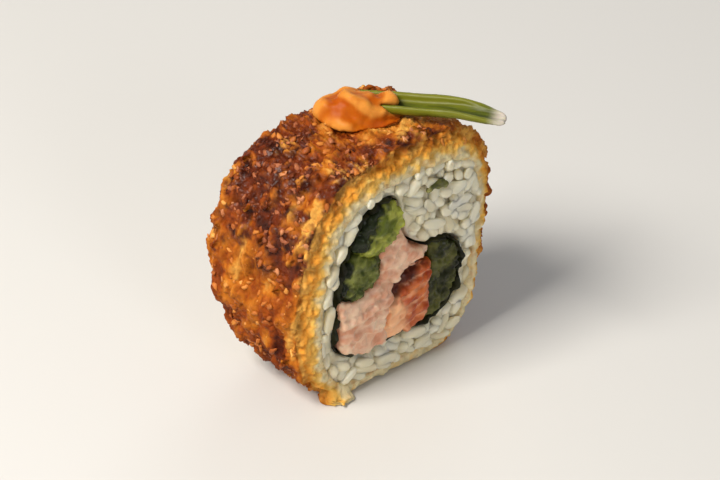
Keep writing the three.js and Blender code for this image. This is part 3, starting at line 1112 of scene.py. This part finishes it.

        # How toasted it is: browner in patches and low at the left, paler on crests and cuts.
        # The mask also holds painted highlights: paler near the front cut, most on the lit left
        # side, and along the top at the right.
        highlight_near_cut = smoothstep(0.24, 0.0, flat.y) * (0.3 + 0.7 * left)
        toast_and_highlight = 0.5 + self.toast_patches.at(drawn) + self.toast_spots.at(drawn) - 0.16 * crest
        toast_and_highlight += 0.14 * (own_plate - 0.5) + 0.08 * (own_chip - 0.5)
        toast_and_highlight += 0.12 * smoothstep(26.0, 8.0, point.z) * left * (1 - cut)
        # Painted highlight: paler along the top at the right.
        toast_and_highlight -= 0.1 * smoothstep(36.0, 44.0, point.z) * smoothstep(-4.0, 8.0, point.x)
        # Paler near the front cut (a painted highlight), on the cuts and on the tongue.
        toast_and_highlight -= 0.34 * highlight_near_cut + 0.16 * cut + 0.55 * tongue
        depth = deep + self.crumb_depth.at(point)
        masks = {
            "glaze": glaze * outside,
            "cut": max(cut * smoothstep(0.15, 0.5, depth), within, tongue),
            "deep": clamp(lerp(depth, creamy, tongue)),
            "toast_and_highlight": clamp(toast_and_highlight + 0.12 * pores * cut),
        }
        height = lerp(outer * outside, rim, cut) + 0.5 * within
        standing = smoothstep(0.0, 1.0, point.z)
        return (normal * height + rounded) * standing + torn * tongue, masks


# ------------------------------------------------------------------ rice


class Side(Enum):
    """The two cut faces, with the way each one faces along Y."""

    FRONT = -1
    BACK = 1

    @property
    def into(self) -> Vector:
        """The way from this cut face into the slice."""
        return Vector((0.0, -float(self.value), 0.0))


class Crowd:
    """Dots in millimetres that keep their distance from each other."""

    def __init__(self, nearest: float) -> None:
        """Takes the least distance."""
        self.nearest = nearest
        self.cells: dict[tuple[int, int, int], list[Vector]] = {}

    def _cell(self, dot: Vector) -> tuple[int, int, int]:
        """The cell that a dot lies in."""
        return tuple(math.floor(value / self.nearest) for value in dot)

    def add(self, dots: Iterable[Vector]) -> None:
        """Keeps some dots."""
        for dot in dots:
            self.cells.setdefault(self._cell(dot), []).append(dot)

    def too_near(self, dots: Iterable[Vector]) -> bool:
        """Looks whether there is room.

        Args:
            dots: The dots that ask for it.

        Returns:
            Whether any of them is too near a kept one.
        """
        steps = (-1, 0, 1)
        for dot in dots:
            x, y, z = self._cell(dot)
            near = ((x + i, y + j, z + k) for i in steps for j in steps for k in steps)
            for cell in near:
                for other in self.cells.get(cell, ()):
                    if (dot - other).length < self.nearest:
                        return True
        return False


@dataclass
class RiceCore(Carved):
    """The lumpy rice behind the grains."""

    name: str = "rice_core"
    slot: str = "rice"
    finish: Finish = Rice()
    node: str = "rice"
    grid: float = 0.5
    lump_size: float = 2.2
    sunk: float = 0.65
    swell: float = 0.45

    def shape(self, point: Vector, normal: Vector) -> Move:
        """Sinks the cuts a little, and gives them lumps as big as grains.

        Args:
            point: A place of the slice in millimetres.
            normal: Which way the surface faces there.

        Returns:
            The move in millimetres, and the masks for the finish.
        """
        facing = smoothstep(0.3, 0.8, abs(normal.y))
        by_coat = smoothstep(1.35, 1.05, FORM.under_skin(point))
        height = 0.5 * (pebbles(point, self.lump_size) - 0.4) - self.sunk * (1 - by_coat)
        return normal * (height * facing + self.swell * (1 - facing)), {"shade": 0.0}


@dataclass
class RiceGrains:
    """Whole and cut grains on both cut faces."""

    length: float = 5.4
    width: float = 2.25
    height: float = 1.95
    nearest: float = 1.12
    tries: int = 36000
    along_coat: float = 0.45
    kinds: int = 5
    seed: int = 5
    field_x: Pair = (-19, 21)
    field_z: Pair = (1, 43)
    deep_layer: Pair = (0.9, 1.4)
    top_layer: Pair = (0.05, 0.6)
    stretches: Pair = (0.72, 1.12)
    plumpness: Pair = (0.88, 1.08)
    before: float = 60.0
    behind: float = 90.0
    stand_off: float = 12.0
    reach: float = 3.6
    blunt: float = 3.5
    bend: float = 0.22
    taper: float = 0.12
    knife: Lumps = Lumps(3.0, 1, 5.0, 0.25)

    def grain(self, shift: float) -> bmesh.types.BMesh:
        """One grain at the origin, along X, plump and a little bent.

        Args:
            shift: Picks its lumps.

        Returns:
            The grain, one millimetre to a unit.
        """
        bm = bmesh.new()
        bmesh.ops.create_icosphere(bm, subdivisions=2, radius=0.5)
        bmesh.ops.scale(bm, vec=(self.length, self.width, self.height), verts=bm.verts)
        for vertex in bm.verts:
            along = 2 * vertex.co.x / self.length
            blunt = math.sqrt((1 - abs(along) ** self.blunt + 0.02) / (1 - along * along + 0.02))
            vertex.co.y *= blunt
            vertex.co.z *= blunt
            vertex.co.y += self.bend * (1 - along * along)
            vertex.co.z *= 1 - self.taper * along
            vertex.co += 0.1 * lumps(vertex.co, 1.3, 2, shift) * vertex.normal
        return bm

    def places(self, side: Side, solid: BVHTree) -> list[tuple[Vector, Matrix]]:
        """Finds room for grains on one cut face.

        Args:
            side: Which cut face.
            solid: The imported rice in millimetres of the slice.

        Returns:
            The middle and the turn, with its size, of each grain.
        """
        draw = random.Random(self.seed + side.value)
        crowd = Crowd(self.nearest)
        found: list[tuple[Vector, Matrix]] = []
        start_y = -self.before if side is Side.FRONT else self.behind
        for attempt in range(self.tries):
            x, z = draw.uniform(*self.field_x), draw.uniform(*self.field_z)
            deep_first = attempt < self.tries // 3
            layer = draw.uniform(*(self.deep_layer if deep_first else self.top_layer))
            stretch = draw.uniform(*self.stretches)
            with_coat = math.atan2(-x, FORM.centre_z - z) + draw.gauss(0, 0.3)
            lie = with_coat if draw.random() < self.along_coat else draw.uniform(0, math.tau)
            turn = (
                Matrix.Rotation(lie, 3, "Y")
                @ Matrix.Rotation(draw.gauss(0, 0.45), 3, "Z")
                @ Matrix.Rotation(draw.uniform(0, math.tau), 3, "X")
            )
            plump = draw.uniform(*self.plumpness)
            axis = turn @ Vector((1.0, 0.0, 0.0))
            half = 0.5 * self.length * stretch - 0.9
            hit = solid.ray_cast(Vector((x, start_y, z)), side.into)
            if hit[0] is None:
                continue
            middle = hit[0] + side.into * layer
            dots = [middle + axis * half * share for share in (-1.0, -0.33, 0.33, 1.0)]
            if crowd.too_near(dots) or not all(self._in_rice(dot, side, solid) for dot in dots):
                continue
            crowd.add(dots)
            found.append((middle, turn @ Matrix.Diagonal((stretch, plump, plump))))
        return found

    def _in_rice(self, dot: Vector, side: Side, solid: BVHTree) -> bool:
        """Looks whether a dot lies in the rice or just in front of its cut.

        Args:
            dot: A place of the slice in millimetres.
            side: Which cut face.
            solid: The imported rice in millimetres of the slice.

        Returns:
            Whether it does, with a little rice on all its sides.
        """
        inwards = Vector((-dot.x, 0.0, FORM.centre_z - dot.z)).normalized()
        across = Vector((inwards.z, 0.0, -inwards.x))
        for step in (inwards * 0.2, inwards * 0.8, across * 0.5, across * -0.5):
            start = dot + step + Vector((0.0, self.stand_off * side.value, 0.0))
            hit = solid.ray_cast(start, side.into)
            if hit[0] is None or abs(hit[3] - self.stand_off) > self.reach:
                return False
        return True

    def _cut_flush(self, verts: Iterable[bmesh.types.BMVert], side: Side, middle: Vector) -> None:
        """Flattens a grain where the knife went through it.

        Args:
            verts: The grain's points.
            side: Which cut face.
            middle: The grain's middle.
        """
        limit = 0.55 + self.knife.at(middle)
        for vertex in verts:
            face_y = 0.0 if side is Side.FRONT else FORM.thickness(FORM.flat(vertex.co).z)
            proud = (vertex.co.y - face_y) * side.value
            if proud > limit:
                vertex.co.y -= 0.85 * (proud - limit) * side.value

    def build(self) -> bpy.types.Object:
        """Packs the grains.

        Returns:
            All of them as one piece.
        """
        bm = merged_solid("rice")
        to_slice = Matrix.Translation(-FORM.shift) @ Matrix.Scale(1 / MM, 4)
        bmesh.ops.transform(bm, matrix=to_slice, verts=bm.verts)
        solid = BVHTree.FromBMesh(bm)
        bm.free()
        heap = Heap(self.grain(7.0 * number) for number in range(self.kinds))
        draw = random.Random(self.seed)
        for side in Side:
            for middle, turn in self.places(side, solid):
                kind, shade = draw.choice(heap.kinds), draw.random()
                fresh = heap.add(kind, Matrix.Translation(middle) @ turn.to_4x4(), shade)
                self._cut_flush(fresh, side, middle)
        return put_in_place(heap.gather("rice_grains"), Rice(), "rice")


# ------------------------------------------------------------------ nori and fillings


@dataclass
class NoriSheet(Thin):
    """The thin sheet round the filling."""

    name: str = "nori_sheet"
    slot: str = "nori"
    finish: Finish = Nori()
    node: str = "nori"
    waves: float = 0.32
    waves_x: Lumps = Lumps(2.6, 3, 1.0)
    waves_z: Lumps = Lumps(2.6, 3, 6.0)
    ragged: Lumps = Lumps(1.6, 3, 3.0, 0.7)
    uneven: Lumps = Lumps(1.7, 3, 9.0)
    uneven_within: float = 0.2
    uneven_at_cut: float = 0.42

    def shape(self, point: Vector, normal: Vector) -> Move:
        """Small waves, and ragged edges at the cuts.

        Args:
            point: A place of the slice in millimetres.
            normal: Which way the surface faces there.

        Returns:
            The move in millimetres, and no masks.
        """
        depth = FORM.flat(point).y
        at_cut = smoothstep(0.12, 0.0, depth) + smoothstep(0.88, 1.0, depth)
        wave = Vector((self.waves_x.at(point), 0.0, self.waves_z.at(point))) * self.waves
        edge = self.ragged.at(Vector((point.x, 0.0, point.z))) * at_cut
        thick = lerp(self.uneven_within, self.uneven_at_cut, clamp(at_cut))
        thick = thick * self.uneven.at(point) - 0.04
        return wave + Vector((0.0, edge, 0.0)) + normal * thick, {}


@dataclass(kw_only=True)
class Filling(Carved):
    """One piece of filling that runs through the slice.

    Its middle, half size and turn are those of its outline on the cut face. A side is a
    direction there: the skin's side is dark from skin_from outwards, on the fish partly as painted
    shade of the gap beside it, and the highlight side is lighter, a painted highlight.
    """

    middle: Pair
    half: Pair
    turn: float
    swell: float = 0.36
    relief: float = 0.8
    relief_size: float = 2.4
    grainy: float = 0.16
    grain: Lumps = Lumps(1.1, 3, 4.0)
    flake: float = 0.0
    flake_gap: float = 2.4
    flake_turn: float = 30.0
    skin_side: Pair = (0.0, 0.0)
    skin_from: float = 0.55
    crevice: float = 0.0
    highlight_side: Pair = (0.0, 0.0)
    ragged: Lumps = Lumps(1.9, 4, 2.2, 0.3)
    spill: float = 0.0
    spill_lumps: Lumps = Lumps(3.2, 2, 8.8, 1.3)
    all_middle: Pair = (1.5, 21.0)

    def flakes_at(self, spot: Vector, y: float) -> Triple:
        """The layers of flesh at a spot.

        Args:
            spot: x and z on the cut face in millimetres.
            y: The distance behind the front cut in millimetres.

        Returns:
            How high the layer's arch is there, the layer's own height, and how near its edge is.
        """
        lines = Matrix.Rotation(-math.radians(self.flake_turn), 2) @ Vector((spot.x, spot.z))
        bend = 1.1 * lumps(Vector((spot.x, 0.3 * y, spot.z)), 5.0, 2, self.turn)
        across = (lines.y + bend + 0.03 * lines.x * lines.x) / self.flake_gap
        layer = math.floor(across)
        share = across - layer
        own = 0.5 * noise.cell(Vector((3.3 * layer + self.turn, 0.5, 0.5)))
        arch = math.sqrt(max(0.0, 1 - (2 * share - 1) ** 2))
        return arch, own, smoothstep(0.2, 0.04, min(share, 1 - share))

    def spilt(self, point: Vector, flat: Vector, away: Vector, out: float) -> Vector:
        """How the flesh spills sideways over the cut, away from the middle of the filling.

        Args:
            point: A place of the slice in millimetres.
            flat: Its place on the flattened slice.
            away: The way there from the piece's middle, on the cut face.
            out: How far out it is, 1 being the piece's outline.

        Returns:
            The move in millimetres.
        """
        lip = smoothstep(0.09, 0.0, min(flat.y, 1 - flat.y)) * smoothstep(0.55, 0.95, out)
        spilt = self.spill * lip * clamp(0.75 + self.spill_lumps.at(point))
        sideways = Vector((away.x, 0.0, away.y)).normalized()
        middle_x, middle_z = self.all_middle
        from_all = Vector((flat.x - middle_x, 0.0, flat.z - middle_z)).normalized()
        spilt *= smoothstep(0.0, 0.6, sideways.dot(from_all))
        forwards = Vector((0.0, -0.6 if flat.y < 0.5 else 0.6, 0.0))
        return (sideways + forwards) * spilt

    def shape(self, point: Vector, normal: Vector) -> Move:
        """Soft relief, flakes where it is fish, and masks for its skin and lines.

        Args:
            point: A place of the slice in millimetres.
            normal: Which way the surface faces there.

        Returns:
            The move in millimetres, and the masks for the finish.
        """
        flat = FORM.flat(point)
        away = Vector((flat.x - self.middle[0], flat.z - self.middle[1]))
        turned = Matrix.Rotation(-math.radians(self.turn), 2) @ away
        out = math.hypot(turned.x / self.half[0], turned.y / self.half[1])
        facing = smoothstep(0.35, 0.8, abs(normal.y))
        arch, own, groove = self.flakes_at(flat, point.y)
        folds = 0.4 - abs(lumps(point, self.relief_size, 3, self.turn))
        height = self.swell + self.relief * folds * lerp(0.5, 1.2, facing)
        height += self.grainy * self.grain.at(point)
        height += self.flake * (0.55 * arch + 0.7 * own - 0.55) * facing
        height -= 0.6 * facing * smoothstep(0.8, 1.2, out)
        side = Vector(self.skin_side)
        towards = away.normalized().dot(side) * out if side.length and away.length else 0.0
        ragged = self.ragged.at(point)
        # Painted highlight: the flesh turns paler towards the highlight side.
        lit = smoothstep(0.1, 0.7, away.dot(Vector(self.highlight_side)) / self.half[0] + ragged)
        # On the fish the skin mask darkens the side that faces the gap to the next piece: partly
        # the darker outside of the flesh, partly painted shade of that gap, which the crevice also
        # sinks.
        skin = smoothstep(self.skin_from, self.skin_from + 0.24, towards + ragged)
        height -= self.crevice * skin * facing
        # This mask holds the pale lines between flakes and the painted highlight.
        lines_and_highlight = max(0.6 * groove * (self.flake > 0), lit) * facing
        return normal * height + self.spilt(point, flat, away, out), {"skin": skin, "lines_and_highlight": lines_and_highlight}


def fillings() -> list[Filling]:
    """Sets out what the roll is filled with.

    Returns:
        The three green sticks, the prawn and the two pieces of salmon.
    """
    light_green = Vegetable(name="cucumber_light")
    mid_green = Vegetable(
        "cucumber_mid", rgb(142, 146, 70), deep_flesh=rgb(62, 72, 24), skin=rgb(26, 32, 11)
    )
    # The cucumber at the right lies in shade: this darker copy of the greens is painted shade.
    shaded_green = Vegetable(
        "cucumber_painted_shade", rgb(92, 92, 40), deep_flesh=rgb(40, 42, 14), skin=rgb(22, 24, 9)
    )
    pink = Fish(name="salmon")
    orange = Fish(
        "prawn", rgb(168, 62, 16), rgb(218, 118, 56), lit=rgb(254, 192, 144), edge=rgb(84, 25, 5)
    )
    upper = Filling(
        name="cucumber_upper_piece", slot="cucumber", finish=light_green, node="cucumber_upper",
        middle=(-4.7, 32.6), half=(5.2, 4.3), turn=42,
        grainy=0.58, skin_side=(-0.9, 0.42), skin_from=0.25,
    )
    lower = Filling(
        name="cucumber_lower_piece", slot="cucumber", finish=mid_green, node="cucumber_lower",
        middle=(-8.3, 24.2), half=(4.6, 4.2), turn=14,
        grainy=0.58, skin_side=(-1.0, -0.1), skin_from=0.4,
    )
    # The cucumber at the right, in the darker copy of the greens: painted shade.
    beside = Filling(
        name="cucumber_side_piece", slot="cucumber", finish=shaded_green, node="cucumber_side",
        middle=(12.2, 16.2), half=(4.2, 9.2), turn=-3,
        grainy=0.5, skin_side=(1.0, 0.2), skin_from=0.5,
    )
    # The prawn has a painted highlight on its lower left side.
    prawn = Filling(
        name="prawn_piece", slot="prawn", finish=orange, node="prawn",
        middle=(3.8, 14.8), half=(4.9, 6.9), turn=-16,
        flake=1.0, flake_gap=2.8, flake_turn=55,
        skin_side=(-0.5, 0.87), skin_from=0.48, crevice=1.2, highlight_side=(-0.95, -0.3), spill=0.9,
    )
    salmon = Filling(
        name="salmon_large_piece", slot="salmon", finish=pink, node="salmon_large",
        middle=(-7.0, 14.6), half=(7.5, 7.0), turn=6,
        flake=0.72, flake_gap=2.6, flake_turn=-35,
        skin_side=(0.9, -0.2), skin_from=0.95, spill=1.1,
    )
    small_salmon = Filling(
        name="salmon_small_piece", slot="salmon", finish=pink, node="salmon_small",
        middle=(0.8, 24.6), half=(6.5, 5.2), turn=24,
        flake=0.75, flake_turn=20,
        skin_side=(0.5, -0.85), skin_from=0.58, crevice=0.8,
    )
    return [upper, lower, beside, prawn, salmon, small_salmon]


@dataclass
class GreenShred(Carved):
    """A small shred of green caught in the rice of the front cut."""

    name: str = "green_shred"
    slot: str = "cucumber"
    finish: Finish = Vegetable("shred", rgb(146, 142, 84), rgb(98, 98, 50), rgb(72, 74, 34))
    middle: Pair = (7.2, 37.2)
    size: Triple = (4.8, 1.3, 1.5)
    proud: float = 0.5
    lean: float = math.radians(10)
    arch: float = 0.1
    torn: Lumps = Lumps(1.2, 3, 3.0, 0.36)
    blotches: Lumps = Lumps(1.4, 2)

    def rough_piece(self) -> bpy.types.Object:
        """Makes it torn and a little arched.

        Returns:
            The shred in its place.
        """
        bm = bmesh.new()
        bmesh.ops.create_icosphere(bm, subdivisions=4, radius=0.5)
        bmesh.ops.scale(bm, vec=self.size, verts=bm.verts)
        bm.normal_update()
        for vertex in bm.verts:
            vertex.co += vertex.normal * self.torn.at(vertex.co)
            vertex.co.z -= self.arch * vertex.co.x**2
        place = FORM.placing(self.middle[0], -self.proud, self.middle[1])
        matrix = place @ Matrix.Rotation(self.lean, 4, "Y")
        bmesh.ops.transform(bm, matrix=matrix, verts=bm.verts)
        return object_from(bm, self.name)

    def shape(self, point: Vector, normal: Vector) -> Move:
        """Leaves it as it is, with a mask of its darker blotches."""
        return Vector(), {"skin": smoothstep(-0.2, 0.4, self.blotches.at(point))}


# ------------------------------------------------------------------ toppings


@dataclass(frozen=True)
class Lie:
    """How a topping lies, seen from above, with half its length and half its width."""

    middle: Pair
    heading: float
    half: Pair

    @property
    def forward(self) -> Vector:
        """The way in which it lies."""
        return Vector((math.cos(self.heading), math.sin(self.heading)))

    def shares(self, point: Vector) -> Pair:
        """How far along and across it a point lies.

        Args:
            point: A place of the slice in millimetres.

        Returns:
            Both as shares of its half length and half width.
        """
        off = Vector((point.x - self.middle[0], point.y - self.middle[1]))
        forward = self.forward
        across = (off.y * forward.x - off.x * forward.y) / self.half[1]
        return off.dot(forward) / self.half[0], across


@dataclass
class Dollop(Carved):
    """The slumped dollop of spicy mayonnaise."""

    name: str = "mayonnaise"
    slot: str = "spicy_mayo"
    finish: Finish = Sauce()
    node: str = "spicy_mayo"
    grid: float = 0.34
    smoothing: int = 10
    lie: Lie = Lie((0.6, 12.4), math.radians(-32), (7.9, 4.8))
    swirl: float = 0.5
    turns: float = 1.5
    stir: Lumps = Lumps(4.0, 2, 6.6, 1.6)
    uneven: Lumps = Lumps(3.0, 3, 2.6)

    def shape(self, point: Vector, normal: Vector) -> Move:
        """A slumped swirl, and a mask of its crests.

        Args:
            point: A place of the slice in millimetres.
            normal: Which way the surface faces there.

        Returns:
            The move in millimetres, and the masks for the finish.
        """
        along, across = self.lie.shares(point)
        reach = math.hypot(along, across)
        phase = math.tau * self.turns * reach - math.atan2(across, along)
        fold = math.cos(phase + self.stir.at(point)) * smoothstep(0.05, 0.4, reach)
        uneven = self.uneven.at(Vector((point.x, point.y, 0.6 * point.z)))
        up = clamp(0.25 + normal.z)
        move = normal * (0.1 + (self.swirl * fold + 0.4 * uneven) * up)
        return move, {"crest": smoothstep(-0.4, 0.9, fold + 0.5 * uneven)}


@dataclass
class SpringOnion(Thin):
    """The slanting cut of leaf under the dollop."""

    name: str = "onion_leaf"
    slot: str = "spring_onion"
    finish: Finish = Leaf()
    node: str = "spring_onion"
    smoothing: int = 4
    rounding: float = 0.6
    easing: float = 0.4
    lie: Lie = Lie((6.0, 7.4), LEAF_HEADING, (16.5, 2.6))
    ribs: float = 16
    rib_height: float = 0.05
    uneven: Lumps = Lumps(2.5, 2, 0.0, 0.08)
    drawn_in: float = 0.4
    lift: float = 2.6

    def shape(self, point: Vector, normal: Vector) -> Move:
        """Fine ribs along the leaf, and masks of its edges and ends.

        Args:
            point: A place of the slice in millimetres.
            normal: Which way the surface faces there.

        Returns:
            The move in millimetres, and the masks for the finish.
        """
        along, across = self.lie.shares(point)
        rib = self.rib_height * math.sin(across * self.ribs) + self.uneven.at(point)
        edge = smoothstep(0.35, 0.9, abs(across)) * 0.8
        tip = max(smoothstep(0.8, 0.97, along), 0.4 * smoothstep(-0.5, -0.8, along))
        shorter = self.drawn_in * max(0.0, -0.5 - along) * self.lie.half[0]
        raised = self.lift * clamp((along - 0.1) / 0.9) ** 1.5
        forward = self.lie.forward
        move = Vector((forward.x * shorter, forward.y * shorter, raised))
        return normal * rib + move, {"edge": edge, "tip": tip}


# ------------------------------------------------------------------ crumbs


@dataclass
class LooseBits:
    """Small bits of one kind, stuck to the outside of the coat."""

    name: str
    finish: Finish
    count: int
    size: Triple
    spread: float
    seed: int
    glazed: float = 0.0
    kinds: int = 6
    rough: Pair = (0.45, 1.35)
    rough_fine: Pair = (0.88, 1.12)
    sunk: float = 0.34
    depths: Pair = (-1.0, 27.0)
    far: float = 60.0
    own_shade: Pair = (-0.2, 0.24)
    tip: float = 0.4
    least_facing: float = 0.3
    most_cut: float = 0.4
    lowest: float = 1.5

    def bit(self, draw: random.Random) -> bmesh.types.BMesh:
        """One rough bit at the origin.

        Args:
            draw: Where its random numbers come from.

        Returns:
            The bit, one millimetre to a unit.
        """
        bm = bmesh.new()
        bmesh.ops.create_icosphere(bm, subdivisions=1, radius=0.5)
        for vertex in bm.verts:
            vertex.co *= draw.uniform(*self.rough)
        bmesh.ops.subdivide_edges(bm, edges=bm.edges, cuts=1, smooth=0.15)
        for vertex in bm.verts:
            vertex.co *= draw.uniform(*self.rough_fine)
        bmesh.ops.scale(bm, vec=self.size, verts=bm.verts)
        return bm

    def build(self, coat: bpy.types.Object) -> bpy.types.Object:
        """Scatters the bits over the coat.

        Args:
            coat: The finished coat.

        Returns:
            All the bits as one piece.
        """
        draw = random.Random(self.seed)
        heap = Heap(self.bit(draw) for _ in range(self.kinds))
        bm = bmesh.new()
        bm.from_mesh(coat.data)
        skin = BVHTree.FromBMesh(bm)
        bm.free()
        points, masks = coat.data.vertices, coat.data.attributes
        placed = 0
        while placed < self.count:
            # Every try draws the same numbers, whether its bit is kept or not.
            around, depth = draw.uniform(0, math.tau), draw.uniform(*self.depths)
            kind, bare, own = draw.choice(heap.kinds), draw.random(), draw.uniform(*self.own_shade)
            size = 1 + self.spread * draw.uniform(-1, 1)
            spin = Matrix.Rotation(draw.uniform(0, math.tau), 4, "Z")
            tip = Matrix.Rotation(draw.gauss(0, self.tip), 4, "X")
            out = Vector((math.cos(around), 0.0, math.sin(around)))
            start = Vector((0.0, depth, FORM.centre_z)) + out * self.far
            where, _, face, _ = skin.ray_cast(FORM.to_frame(start), -out)
            if where is None:
                continue
            corners = coat.data.polygons[face].vertices
            near = min(corners, key=lambda corner: (points[corner].co - where).length)
            glaze, cut, toast_and_highlight = (masks[key].data[near].value for key in ("glaze", "cut", "toast_and_highlight"))
            normal, point = points[near].normal, FORM.from_frame(where)
            hidden = normal.dot(out) < self.least_facing or point.z < self.lowest
            if hidden or cut > self.most_cut or glaze < self.glazed * bare:
                continue
            lie = normal.to_track_quat("Z", "Y").to_matrix().to_4x4()
            middle = point + normal * (0.3 * self.size[2] * size - self.sunk)
            place = Matrix.Translation(middle) @ lie @ tip @ spin @ Matrix.Scale(size, 4)
            # Each bit takes the coat's toast mask, painted highlights included, and its glaze.
            heap.add(kind, place, clamp(0.56 * toast_and_highlight + 0.5 * glaze + own))
            placed += 1
        return put_in_place(heap.gather(self.name), self.finish, "fried_coat")


def loose_bits() -> list[LooseBits]:
    """Sets out what is stuck to the coat.

    Returns:
        The crumbs, and the paler flecks that lie in the glaze.
    """
    pale, golden, orange, brown = (214, 160, 112), (196, 128, 82), (164, 96, 60), (128, 66, 38)
    flecks = Crumbs("flecks", rgb(*pale), rgb(*golden), rgb(*orange), rgb(*brown))
    return [
        LooseBits("coat_crumbs", Crumbs(), 700, (1.3, 0.85, 0.55), 0.6, 31),
        LooseBits("crisp_flecks", flecks, 210, (1.35, 0.8, 0.5), 0.35, 47, glazed=1.0),
    ]


# ------------------------------------------------------------------ studio


@dataclass(frozen=True)
class SoftLight:
    """A square soft light that shines at the slice."""

    name: str
    towards: Triple
    distance: float
    size: float
    power: float
    colour: Triple

    def build(self, target: Vector) -> None:
        """Hangs it at its distance from the target.

        Args:
            target: What it shines at.
        """
        light = bpy.data.lights.new(self.name, "AREA")
        light.shape = "SQUARE"
        light.size = self.size
        light.energy = self.power
        light.color = self.colour
        lamp = bpy.data.objects.new(self.name, light)
        direction = Vector(self.towards).normalized()
        lamp.location = target + direction * self.distance
        lamp.rotation_euler = direction.to_track_quat("Z", "Y").to_euler()
        bpy.context.scene.collection.objects.link(lamp)


@dataclass(frozen=True)
class Studio:
    """Floor, lights and camera, in metres."""

    eye: Triple = (-0.4775, -0.4517, 0.504)
    target: Triple = (0.0, -0.0005, 0.0245)
    lens: float = 245.0
    roll: float = math.radians(6.4)
    nearest: float = 0.05
    floor_size: float = 1.6
    ambient: float = 0.22
    lights: tuple[SoftLight, ...] = (
        SoftLight("key", (-0.85, 0.1, 0.95), 0.7, 0.26, 7.0, (1.0, 0.96, 0.9)),
        SoftLight("fill", (-0.2, -1.0, 0.5), 0.9, 0.3, 1.3, (0.95, 0.97, 1.0)),
        SoftLight("side", (0.9, 0.6, 0.7), 0.9, 0.5, 1.3, (0.95, 0.97, 1.0)),
    )

    def build(self) -> None:
        """Sets everything up."""
        scene = bpy.context.scene
        bm = bmesh.new()
        bmesh.ops.create_grid(bm, x_segments=1, y_segments=1, size=self.floor_size / 2)
        floor = object_from(bm, "floor")
        floor.data.materials.append(Floor().material())
        world = bpy.data.worlds.new("studio")
        world.use_nodes = True
        background = world.node_tree.nodes["Background"]
        background.inputs["Color"].default_value = (1.0, 1.0, 1.0, 1.0)
        background.inputs["Strength"].default_value = self.ambient
        scene.world = world
        scene.view_settings.view_transform = "Standard"
        eye, target = Vector(self.eye), Vector(self.target)
        for light in self.lights:
            light.build(target)
        camera = bpy.data.objects.new("camera", bpy.data.cameras.new("camera"))
        camera.data.lens = self.lens
        camera.data.clip_start = self.nearest
        camera.location = eye
        look = (target - eye).to_track_quat("-Z", "Y").to_matrix().to_4x4()
        camera.rotation_euler = (look @ Matrix.Rotation(self.roll, 4, "Z")).to_euler()
        scene.collection.objects.link(camera)
        scene.camera = camera


def main() -> None:
    """Builds the slice and the studio."""
    logging.basicConfig(level=logging.INFO, format="%(name)s %(message)s")
    coat = Coat().build()
    for rice in (RiceGrains(), RiceCore()):
        rice.build()
    for inside in (NoriSheet(), *fillings(), GreenShred()):
        inside.build()
    for topping in (Dollop(), SpringOnion()):
        topping.build()
    for bits in loose_bits():
        bits.build(coat)
    Studio().build()


if __name__ == "__main__":
    main()
